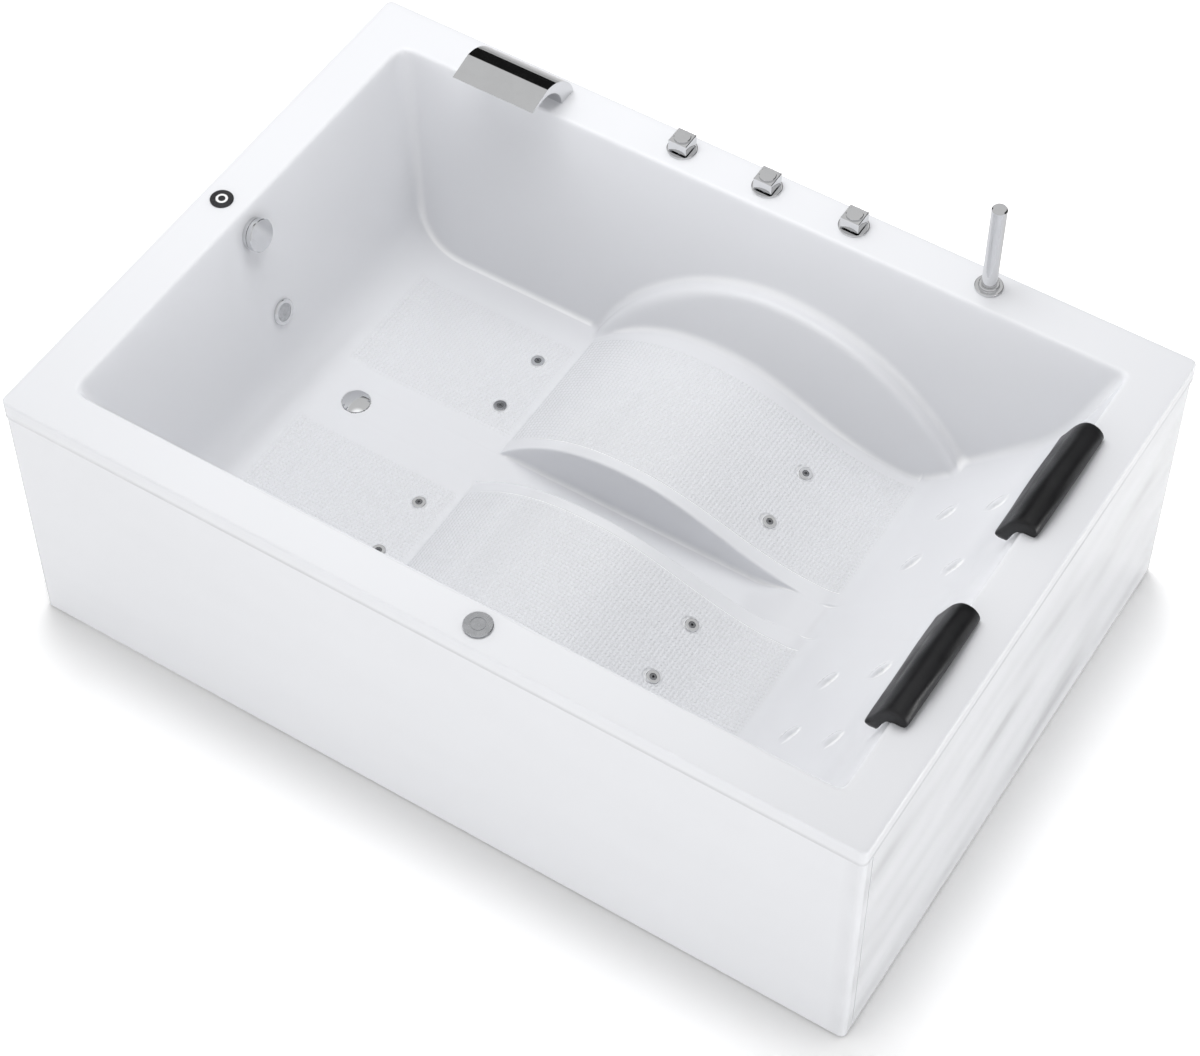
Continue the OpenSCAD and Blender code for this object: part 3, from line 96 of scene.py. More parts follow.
class PillowSizes(bpy.types.PropertyGroup):
    """Sizes of the headrest pillows"""

    length: FloatProperty(
        name="Length", description="Length of a headrest pillow",
        default=0.264, min=0.2, max=0.32, unit="LENGTH")
    width: FloatProperty(
        name="Width", description="Width of a pillow's section",
        default=0.082, min=0.06, max=0.1, unit="LENGTH")
    drop: FloatProperty(
        name="Drop", description="Height of a pillow's section",
        default=0.076, min=0.05, max=0.1, unit="LENGTH")
    crown: FloatProperty(
        name="Crown", description="Thickness gained at the middle of the length",
        default=0.012, min=0.0, max=0.02, unit="LENGTH")
    stations: IntProperty(
        name="Stations", description="Sections along a pillow", default=64, min=24, max=120)


class TubColours(bpy.types.PropertyGroup):
    """Colours of the finishes"""

    acrylic: FloatVectorProperty(
        name="Acrylic", description="Colour of the moulded tub and the aprons",
        default=(0.768, 0.776, 0.802), min=0.0, max=1.0, size=3, subtype="COLOR")
    pillow: FloatVectorProperty(
        name="Pillow skin", description="Colour of the headrest pillows",
        default=(0.0095, 0.0095, 0.0105), min=0.0, max=1.0, size=3, subtype="COLOR")
    chrome: FloatVectorProperty(
        name="Chrome", description="Colour of the polished fittings",
        default=(0.72, 0.725, 0.735), min=0.0, max=1.0, size=3, subtype="COLOR")
    pipe: FloatVectorProperty(
        name="Pipes", description="Colour of the plastic pipes",
        default=(0.80, 0.80, 0.78), min=0.0, max=1.0, size=3, subtype="COLOR")
    frame_paint: FloatVectorProperty(
        name="Frame paint", description="Colour of the powder-coated frame",
        default=(0.11, 0.115, 0.125), min=0.0, max=1.0, size=3, subtype="COLOR")


def sizes():
    return bpy.context.scene.tub_sizes


def colours():
    return bpy.context.scene.tub_colours


# Shared shader groups

SOCKET_KINDS = {1: "NodeSocketFloat", 3: "NodeSocketVector", 4: "NodeSocketColor"}
FLAT_POINTINESS = 0.494
WORN_POINTINESS = 0.52

# Dotted areas: edges along the tub, edges out from its middle, and how soft each is
DOTTED_FOOT_WELL = ((-0.648, -0.272, 0.010), (0.086, 0.345, 0.006))
DOTTED_LOUNGES = ((-0.256, 0.482, 0.005), (0.0795, 0.376, 0.002))


def fill(tree, socket, value):
    """Links a socket to another node's output, or sets its fixed value."""
    if isinstance(value, bpy.types.NodeSocket):
        tree.links.new(value, socket)
    else:
        socket.default_value = value


def add(tree, kind, settings=None, **values):
    """Adds a node, sets its own settings, and fills sockets by name with numbers or links."""
    made = tree.nodes.new(kind)
    for key, value in (settings or {}).items():
        setattr(made, key, value)
    for key, value in values.items():
        fill(tree, made.inputs[key.replace("_", " ")], value)
    return made


def maths(tree, operation, a, b=None):
    """Adds a Math node and returns its result."""
    made = add(tree, "ShaderNodeMath", {"operation": operation})
    fill(tree, made.inputs[0], a)
    if b is not None:
        fill(tree, made.inputs[1], b)
    return made.outputs[0]


def vector_maths(tree, operation, a, b):
    """Adds a Vector Math node and returns its result."""
    made = add(tree, "ShaderNodeVectorMath", {"operation": operation})
    fill(tree, made.inputs[0], a)
    fill(tree, made.inputs[1], b)
    return made.outputs[0]


def mixed(tree, share, first, second):
    """Mixes two colours by a share."""
    made = add(tree, "ShaderNodeMix", {"data_type": "RGBA"}, Factor=share)
    fill(tree, made.inputs[6], first)
    fill(tree, made.inputs[7], second)
    return made.outputs[2]


def ramp(tree, value, low, high, out_low=0.0, out_high=1.0):
    """Maps a value from one range to another, eased at both ends."""
    made = add(tree, "ShaderNodeMapRange", {"interpolation_type": "SMOOTHSTEP"},
               Value=value, From_Min=low, From_Max=high, To_Min=out_low, To_Max=out_high)
    return made.outputs["Result"]


def window(tree, value, low, high, soft):
    """1 between low and high, and 0 outside, with soft edges."""
    rise = ramp(tree, value, low - soft, low + soft)
    fall = ramp(tree, value, high - soft, high + soft, 1.0, 0.0)
    return maths(tree, "MULTIPLY", rise, fall)


def own_place(tree):
    """Where a point lies on its own object."""
    return add(tree, "ShaderNodeTexCoord").outputs["Object"]


def split(tree, vector):
    """The X, Y and Z of a vector."""
    return add(tree, "ShaderNodeSeparateXYZ", Vector=vector).outputs


def geometry(tree, name):
    return add(tree, "ShaderNodeNewGeometry").outputs[name]


def cloud(tree, where, scale, detail, roughness=0.5):
    """Soft noise round one half."""
    made = add(tree, "ShaderNodeTexNoise", Vector=where, Scale=scale, Detail=detail, Roughness=roughness)
    return made.outputs["Fac"]


def cells(tree, output, scale, **settings):
    """One output of a cell pattern in the object's own space."""
    return add(tree, "ShaderNodeTexVoronoi", settings, Vector=own_place(tree), Scale=scale).outputs[output]


def new_group(name, inputs, output, kind="NodeSocketFloat"):
    """Makes an empty shader group and returns it with what it takes and the socket that it gives."""
    group = bpy.data.node_groups.new(name, "ShaderNodeTree")
    for label, value in inputs.items():
        size = len(value) if isinstance(value, tuple) else 1
        socket = group.interface.new_socket(name=label, in_out="INPUT", socket_type=SOCKET_KINDS[size])
        socket.default_value = value
    group.interface.new_socket(name=output, in_out="OUTPUT", socket_type=kind)
    take = group.nodes.new("NodeGroupInput")
    give = group.nodes.new("NodeGroupOutput")
    return group, take.outputs, give.inputs[output]


def make_tone_group():
    """Two tones mixed by soft cloudy noise, for colour that is never quite even."""
    group, take, give = new_group(
        "tone_variation",
        {"Tone A": (0.8, 0.8, 0.8, 1), "Tone B": (0.7, 0.7, 0.7, 1), "Scale": 6.0, "Detail": 4.0},
        "Color", "NodeSocketColor")
    noise = cloud(group, own_place(group), take["Scale"], take["Detail"], 0.55)
    share = ramp(group, noise, 0.32, 0.68)
    group.links.new(mixed(group, share, take["Tone A"], take["Tone B"]), give)
    return group


def make_gloss_group():
    """A roughness that drifts between two values, as on a wiped and handled surface."""
    group, take, give = new_group("gloss_drift", {"Low": 0.1, "High": 0.2, "Scale": 5.0}, "Roughness")
    noise = cloud(group, own_place(group), take["Scale"], 5.0, 0.6)
    group.links.new(ramp(group, noise, 0.3, 0.7, take["Low"], take["High"]), give)
    return group


def make_grain_group():
    """Fine grain, stretched along an axis for drawn pipe and wood."""
    group, take, give = new_group(
        "fine_grain", {"Stretch": (1.0, 1.0, 1.0), "Scale": 300.0, "Detail": 3.0}, "Height")
    where = vector_maths(group, "MULTIPLY", own_place(group), take["Stretch"])
    group.links.new(cloud(group, where, take["Scale"], take["Detail"], 0.6), give)
    return group


def make_edge_group():
    """A mask that is 1 on worn outer edges, broken up by noise."""
    group, take, give = new_group("edge_wear", {"Width": 0.05, "Scale": 60.0}, "Mask")
    top = maths(group, "ADD", WORN_POINTINESS, take["Width"])
    edge = ramp(group, geometry(group, "Pointiness"), WORN_POINTINESS, top)
    broken = ramp(group, cloud(group, own_place(group), take["Scale"], 4.0), 0.45, 0.6)
    group.links.new(maths(group, "MULTIPLY", edge, broken), give)
    return group


def make_crease_highlight_group():
    """A painted highlight: a mask that is 1 along the inner creases of a moulding, where the base colour is
    lightened to stand in for the gloss catching the light.
    """
    group, take, give = new_group("inner_crease", {"Reach": 0.03}, "Mask")
    low = maths(group, "SUBTRACT", FLAT_POINTINESS, take["Reach"])
    group.links.new(ramp(group, geometry(group, "Pointiness"), low, FLAT_POINTINESS, 1.0, 0.0), give)
    return group


def make_dot_group():
    """The raised dots moulded into the foot well and the lounges, with smooth borders left out."""
    group, take, give = new_group("moulded_dots", {"Pitch": 0.008, "Middle": -0.004}, "Height")
    where = own_place(group)
    place = split(group, where)
    off = maths(group, "ABSOLUTE", maths(group, "SUBTRACT", place["Y"], take["Middle"]))
    areas = [maths(group, "MULTIPLY", window(group, place["X"], *along), window(group, off, *across))
             for along, across in (DOTTED_FOOT_WELL, DOTTED_LOUNGES)]
    facing = ramp(group, split(group, geometry(group, "Normal"))["Z"], 0.45, 0.6)
    mask = maths(group, "MULTIPLY", maths(group, "MAXIMUM", *areas), facing)
    dots = add(group, "ShaderNodeTexVoronoi", {"voronoi_dimensions": "2D", "feature": "F1"},
               Vector=vector_maths(group, "DIVIDE", where, take["Pitch"]), Scale=1.0, Randomness=0.0)
    raised = ramp(group, dots.outputs["Distance"], 0.20, 0.46, 1.0, 0.0)
    group.links.new(maths(group, "MULTIPLY", raised, mask), give)
    return group


GROUP_MAKERS = {
    "tone_variation": make_tone_group, "gloss_drift": make_gloss_group, "fine_grain": make_grain_group,
    "edge_wear": make_edge_group, "inner_crease": make_crease_highlight_group, "moulded_dots": make_dot_group,
}


def use_group(tree, name, **values):
    """Places a shared group in a material with the material's own values, and returns what it gives."""
    made = add(tree, "ShaderNodeGroup", {"node_tree": bpy.data.node_groups.get(name) or GROUP_MAKERS[name]()},
               **values)
    return made.outputs[0]


# Finishes

def start_material(name, **fixed):
    """A new material with a Principled shader, whose even values are set on its own sockets."""
    material = bpy.data.materials.new(name)
    material.use_nodes = True
    shader = material.node_tree.nodes["Principled BSDF"]
    for key, value in fixed.items():
        shader.inputs[key.replace("_", " ")].default_value = value
    return material, material.node_tree, shader


def bump_on(tree, shader, height, distance, strength, below=None):
    """Feeds a height into the shader's normal through a Bump node."""
    made = add(tree, "ShaderNodeBump", Strength=strength, Distance=distance, Height=height)
    if below is not None:
        tree.links.new(below, made.inputs["Normal"])
    tree.links.new(made.outputs["Normal"], shader.inputs["Normal"])
    return made.outputs["Normal"]


def tone(tree, shader, colour, shift, scale, detail=4.0):
    """Gives the base colour a slight drift round the wanted colour."""
    lighter = [min(1.0, c * (1 + shift)) for c in colour] + [1.0]
    darker = [c * (1 - shift) for c in colour] + [1.0]
    drift = use_group(tree, "tone_variation", Tone_A=lighter, Tone_B=darker, Scale=scale, Detail=detail)
    tree.links.new(drift, shader.inputs["Base Color"])
    return drift


def gloss(tree, shader, low, high, scale):
    """Gives the roughness a slight drift."""
    drift = use_group(tree, "gloss_drift", Low=low, High=high, Scale=scale)
    tree.links.new(drift, shader.inputs["Roughness"])


def fine_grain(tree, scale, detail, stretch=(1.0, 1.0, 1.0)):
    return use_group(tree, "fine_grain", Stretch=stretch, Scale=scale, Detail=detail)


def plain_finish(name, tint, drift, sheen=None, grain=None, relief=None, **fixed):
    """One tint with its drift and, where given, a drifting gloss and a fine grain."""
    material, tree, shader = start_material(name, **fixed)
    tone(tree, shader, getattr(colours(), tint) if isinstance(tint, str) else tint, *drift)
    if sheen:
        gloss(tree, shader, *sheen)
    if grain:
        bump_on(tree, shader, fine_grain(tree, *grain), *relief)
    return material


def painted_finish(name, tones, drift, wear, bare, sheen, grain, relief):
    """Paint over metal, worn through along the outer edges."""
    material, tree, shader = start_material(name)
    worn = use_group(tree, "edge_wear", Width=wear[0], Scale=wear[1])
    light, dark = tones
    coat = use_group(tree, "tone_variation", Tone_A=light, Tone_B=dark, Scale=drift[0], Detail=drift[1])
    tree.links.new(mixed(tree, worn, coat, bare), shader.inputs["Base Color"])
    gloss(tree, shader, *sheen)
    bump_on(tree, shader, fine_grain(tree, *grain), *relief)
    return material


# Tint (a colour, or the name of a colour setting), drift (shift, scale, detail), sheen (low, high, scale),
# grain (scale, detail, stretch), relief (depth, strength), and even values of the shader
PLAIN_FINISHES = {
    # Painted shade: near-black that stands in for the shade inside the wells of the jets and the drain
    "dark_bore": {"tint": (0.012, 0.012, 0.013), "drift": (0.3, 90.0), "Roughness": 0.6},
    # Polished chrome with faint marks
    "chrome": {"tint": "chrome", "drift": (0.015, 25.0), "sheen": (0.04, 0.075, 40.0),
               "grain": (900.0, 2.0, (1.0, 1.0, 0.2)), "relief": (0.00001, 0.2), "Metallic": 1.0},
    # Satin turned metal
    "satin_metal": {"tint": (0.58, 0.59, 0.61), "drift": (0.05, 60.0), "sheen": (0.20, 0.34, 50.0),
                    "grain": (1500.0, 2.0), "relief": (0.00003, 0.4), "Metallic": 1.0, "Anisotropic": 0.4},
    # Cast and turned brass with an uneven tarnish
    "brass": {"tint": (0.66, 0.48, 0.20), "drift": (0.16, 30.0, 6.0), "sheen": (0.22, 0.42, 60.0),
              "grain": (700.0, 4.0), "relief": (0.00006, 0.5), "Metallic": 1.0},
    # Drawn copper pipe with dull patches
    "copper": {"tint": (0.66, 0.31, 0.18), "drift": (0.22, 18.0, 6.0), "sheen": (0.22, 0.46, 25.0),
               "grain": (800.0, 3.0, (0.1, 1.0, 1.0)), "relief": (0.00004, 0.4), "Metallic": 1.0},
    # White drain and water pipe with a satin skin
    "pipe_plastic": {"tint": "pipe", "drift": (0.04, 7.0, 6.0), "sheen": (0.32, 0.48, 12.0),
                     "grain": (220.0, 3.0), "relief": (0.0001, 0.3), "IOR": 1.5},
    # Matt black moulded feet
    "foot_plastic": {"tint": (0.035, 0.035, 0.037), "drift": (0.25, 40.0), "sheen": (0.55, 0.7, 30.0),
                     "grain": (500.0, 3.0), "relief": (0.0002, 0.4)},
    # Gloss black mouldings
    "black_plastic": {"tint": (0.018, 0.018, 0.020), "drift": (0.25, 30.0), "sheen": (0.16, 0.30, 25.0),
                      "grain": (600.0, 2.0), "relief": (0.00008, 0.3), "IOR": 1.5},
    # Pale ring of the start button
    "white_plastic": {"tint": (0.80, 0.80, 0.80), "drift": (0.02, 60.0), "sheen": (0.18, 0.28, 60.0),
                      "IOR": 1.5},
    # Light grey control box with a fine moulded texture
    "box_plastic": {"tint": (0.56, 0.57, 0.56), "drift": (0.04, 10.0), "sheen": (0.40, 0.52, 14.0),
                    "grain": (900.0, 2.0), "relief": (0.00015, 0.5), "IOR": 1.5},
    # Plated plastic of the jets
    "jet_plastic": {"tint": (0.27, 0.275, 0.285), "drift": (0.1, 120.0), "sheen": (0.16, 0.28, 120.0),
                    "Metallic": 0.9},
}


def acrylic_finish():
    """Gloss acrylic with moulded dots on its floor and lounges, and a painted highlight lightening its inner
    creases.
    """
    material, tree, shader = start_material("acrylic", IOR=1.49, Coat_Weight=0.35, Coat_Roughness=0.05)
    even = tone(tree, shader, colours().acrylic, 0.006, 2.2, 2.0)
    # Painted highlight: the colour is lightened towards near-white along the inner creases, but not at the
    # lounges' foot
    crease = use_group(tree, "inner_crease", Reach=0.03)
    lounge_foot = window(tree, split(tree, own_place(tree))["X"], -0.285, -0.250, 0.006)
    share = maths(tree, "MULTIPLY", crease, maths(tree, "SUBTRACT", 1.0, lounge_foot))
    tree.links.new(mixed(tree, share, even, (0.97, 0.975, 0.985, 1)), shader.inputs["Base Color"])
    gloss(tree, shader, 0.20, 0.25, 3.0)
    wave = bump_on(tree, shader, fine_grain(tree, 5.0, 1.0), 0.0012, 0.35)
    dots = use_group(tree, "moulded_dots", Pitch=0.0082, Middle=MIDDLE_Y)
    bump_on(tree, shader, dots, 0.0011, 0.8, wave)
    return material


def apron_finish():
    """Gloss sheet acrylic that is never quite flat, most of all at the head end."""
    material, tree, shader = start_material("apron_acrylic", IOR=1.49, Coat_Weight=0.5, Coat_Roughness=0.02)
    tone(tree, shader, colours().acrylic, 0.006, 1.6, 2.0)
    gloss(tree, shader, 0.10, 0.16, 2.0)
    wave = fine_grain(tree, 6.0, 1.0, (0.4, 0.4, 0.9))
    head_end = ramp(tree, split(tree, own_place(tree))["X"], 0.86, 0.90, 0.25, 1.0)
    bump_on(tree, shader, maths(tree, "MULTIPLY", wave, head_end), 0.03, 0.6)
    return material


def board_finish():
    """Plywood: long grain on the faces and thin plies on the edges."""
    material, tree, shader = start_material("board", Roughness=0.62)
    grain = fine_grain(tree, 90.0, 6.0, (0.07, 1.0, 1.0))
    face = mixed(tree, ramp(tree, grain, 0.3, 0.7), (0.42, 0.27, 0.13, 1), (0.62, 0.45, 0.26, 1))
    plies = maths(tree, "PINGPONG", split(tree, own_place(tree))["Z"], 0.0017)
    edge = mixed(tree, ramp(tree, plies, 0.0006, 0.0011), (0.30, 0.18, 0.09, 1), (0.60, 0.44, 0.26, 1))
    flat = ramp(tree, maths(tree, "ABSOLUTE", split(tree, geometry(tree, "Normal"))["Z"]), 0.5, 0.8)
    tree.links.new(mixed(tree, flat, edge, face), shader.inputs["Base Color"])
    bump_on(tree, shader, grain, 0.0003, 0.5)
    return material


def frame_paint_finish():
    """Satin powder coat with its fine pebbled skin."""
    paint = colours().frame_paint
    tones = ([*paint, 1.0], [c * 0.8 for c in paint] + [1.0])
    return painted_finish("frame_steel", tones, (9.0, 5.0), (0.16, 70.0), (0.16, 0.165, 0.175, 1),
                          (0.38, 0.52, 15.0), (420.0, 2.0), (0.0002, 0.45))


def motor_paint_finish():
    """Blue-grey enamel of the pump's motor, thin on its fins."""
    tones = ((0.045, 0.075, 0.12, 1), (0.035, 0.055, 0.09, 1))
    return painted_finish("motor_paint", tones, (12.0, 5.0), (0.08, 80.0), (0.34, 0.35, 0.36, 1),
                          (0.30, 0.45, 20.0), (300.0, 3.0), (0.0002, 0.4))


def zinc_finish():
    """Zinc plate with its pale crystal patches."""
    material, tree, shader = start_material("zinc_steel", Metallic=1.0)
    patch = add(tree, "ShaderNodeSeparateColor", Color=cells(tree, "Color", 140.0, feature="F1")).outputs[0]
    zinc = mixed(tree, patch, (0.48, 0.49, 0.51, 1), (0.66, 0.67, 0.68, 1))
    tree.links.new(zinc, shader.inputs["Base Color"])
    tree.links.new(ramp(tree, patch, 0.0, 1.0, 0.28, 0.42), shader.inputs["Roughness"])
    return material


def pillow_finish():
    """Soft black skin with a fine pore grain and faint folds."""
    material, tree, shader = start_material("pillow_skin", IOR=1.36, Coat_Weight=0.10, Coat_Roughness=0.30)
    tone(tree, shader, colours().pillow, 0.25, 14.0)
    gloss(tree, shader, 0.33, 0.45, 22.0)
    pores = ramp(tree, cells(tree, "Distance", 520.0, feature="DISTANCE_TO_EDGE"), 0.02, 0.35)
    fine = bump_on(tree, shader, pores, 0.0003, 0.22)
    bump_on(tree, shader, fine_grain(tree, 38.0, 3.0, (1.0, 0.35, 1.0)), 0.0012, 0.16, fine)
    return material


def cable_finish():
    """Ribbed dark sleeve of the pull cable."""
    material, tree, shader = start_material("cable_skin", Roughness=0.5)
    tone(tree, shader, (0.05, 0.05, 0.055), 0.2, 60.0)
    place = split(tree, own_place(tree))
    ribs = maths(tree, "PINGPONG", maths(tree, "ADD", place["Z"], place["X"]), 0.0012)
    bump_on(tree, shader, ramp(tree, ribs, 0.0, 0.0012), 0.0003, 0.6)
    return material


def lens_finish():
    """Frosted light lens with moulded facets."""
    material, tree, shader = start_material("lens_plastic", IOR=1.49, Coat_Weight=0.6, Coat_Roughness=0.05)
    tone(tree, shader, (0.42, 0.43, 0.45), 0.12, 90.0)
    gloss(tree, shader, 0.22, 0.36, 70.0)
    facets = add(tree, "ShaderNodeTexVoronoi", {"feature": "F1"},
                 Vector=own_place(tree), Scale=240.0, Randomness=0.1)
    bump_on(tree, shader, facets.outputs["Distance"], 0.001, 0.6)
    return material


FINISHES = {
    "acrylic": acrylic_finish, "apron_acrylic": apron_finish, "board": board_finish,
    "frame_steel": frame_paint_finish, "zinc_steel": zinc_finish, "pillow_skin": pillow_finish,
    "cable_skin": cable_finish, "lens_plastic": lens_finish, "motor_paint": motor_paint_finish,
}
MADE = {}


def finish(slot):
    """The material of a finish, made once."""
    if slot not in MADE:
        MADE[slot] = FINISHES[slot]() if slot in FINISHES else plain_finish(slot, **PLAIN_FINISHES[slot])
    return MADE[slot]


WELD_REACH = 0.00001
EDGE_ANGLE = math.radians(35)
SHADING_WEIGHT = 60


def dress(names, bevel=0.0, segments=2):
    """Gives carried-over nodes their finish and, where asked, softened edges."""
    slot_of = {row["node"]: row["material_slot"] for row in frame["record"]["subparts"]}
    for name in names:
        obj = NODES[name]
        if not obj.material_slots:
            raise RuntimeError(f"{name} has no material slot")
        for place in obj.material_slots:
            place.link = "OBJECT"
            place.material = finish(slot_of[name])
        if bevel > 0:
            weld = obj.modifiers.new("join_edges", "WELD")
            weld.merge_threshold = WELD_REACH
            soft = obj.modifiers.new("soft_edges", "BEVEL")
            soft.width = bevel
            soft.segments = segments
            soft.limit_method = "ANGLE"
            soft.angle_limit = EDGE_ANGLE
            even = obj.modifiers.new("even_shading", "WEIGHTED_NORMAL")
            even.keep_sharp = True
            even.weight = SHADING_WEIGHT


def place_object(name, data):
    """Adds an object to the scene."""
    made = bpy.data.objects.new(name, data)
    bpy.context.scene.collection.objects.link(made)
    return made


# Moulded shell

# Lengths in metres; first the rims from the shell's outer edge to the bath, at the foot and the head end
FOOT_RIM, HEAD_RIM = 0.098, 0.093
MIDDLE_Y = -0.004
BATH_HALF_WIDTH = 0.5295
SKIRT_INSET = 0.014
RIM_ROUNDING, UNDER_ROUNDING = 0.007, 0.004
FOOT_WALL_RADIUS = 0.100

# Shares of the bath's length: foot well, rise to the knee crest, fall to the seat, turn up to the backrest
FOOT_WELL, CREST_RUN, SEAT_RUN, BACK_TURN = 0.3356, 0.1815, 0.2486, 0.0311
# Where the backrest grows steeper: share along it and share up it
BACK_BEND_ALONG, BACK_BEND_UP = 0.742, 0.513

# Arched armrest ledges: step in from the wall, rise over the floor, peak in runs to the crest, and radii
LEDGE_STEP = 0.030
LEDGE_RISE = 0.258
LEDGE_PEAK = 1.325
LEDGE_FOOT_RADIUS, LEDGE_HEAD_RADIUS = 1.6667 * LEDGE_RISE, 2.2857 * LEDGE_RISE

# Roundings where two surfaces of the moulding meet
SEAT_TO_BACK, BACK_BEND_ROUND, BED_TO_BACK, BED_TO_CHANNEL = 0.026, 0.06, 0.010, 0.005
WALL_TO_LEDGE, LEDGE_TO_FACE, FOOT_LEDGE_EXTRA = 0.014, 0.012, 0.015
FLOOR_CORNER, CORNER_GROWTH = 0.006, 0.028
HEAD_CORNER_LEAST, HEAD_CORNER_MOST = 0.013, 0.020
RIDGE_SHARE, RIDGE_LEAST, RIDGE_MOST = 0.3, 0.0005, 0.0065

LOUNGE_FULLNESS = 2.5
BED_CLIMB = 0.12
CHANNEL_LEAN = math.tan(math.radians(6))
GROOVE_FROM_MIDDLE, GROOVE_SIZE = 0.0775, 0.0013
GROOVE_START_BACK, GROOVE_START_FRONT, GROOVE_END = 0.060, 0.037, 0.004

# Jets: places across as shares of half a seat, before the lounges and along the seats
JETS_ACROSS = (0.3663, 0.7198)
FOOT_JETS_BEFORE, SEAT_JETS_ALONG = 0.064, 0.65
JET_WELL_RADIUS, JET_WELL_DEPTH = 0.0108, 0.016
JET_LIP_RADIUS, JET_LIP_SIZE, JET_LIP_HEIGHT = 0.0162, 0.0016, 0.0014
JET_CUP_RADIUS, JET_CUP_SHIFT, JET_CUP_DEPTH = 0.0165, 0.005, 0.0035

DRAIN_FROM_WALL = 0.0413
DRAIN_SEAT_RADIUS, DRAIN_SEAT_DEPTH = 0.0290, 0.003
DRAIN_BORE_RADIUS, DRAIN_BORE_DEPTH = 0.020, 0.024
START_HOLE_MARGIN = 0.0025

# Massage bumps: share along the backrest and share of half a seat across
BUMPS = ((0.315, 0.400), (0.315, 0.753), (0.592, 0.351), (0.592, 0.791))
BUMP_TURN = math.radians(55)
BUMP_HALF_LENGTH, BUMP_HALF_WIDTH, BUMP_FULLNESS = 0.024, 0.012, 1.1

BISECTIONS, SEARCH_DEPTH = 26, 0.05
SLOPE_REACH = 0.002
CORNER_STEPS = 10


def smooth_min(a, b, k):
    """The smaller of two values, rounded over where they lie within k of each other."""
    h = np.maximum(k - np.abs(a - b), 0.0)
    return np.minimum(a, b) - h * h / (4 * k)


def smooth_max(a, b, k):
    return -smooth_min(-a, -b, k)


def eased(value, low, high):
    """0 below low, 1 above high, and straight between them."""
    return np.clip((value - low) / (high - low), 0, 1)


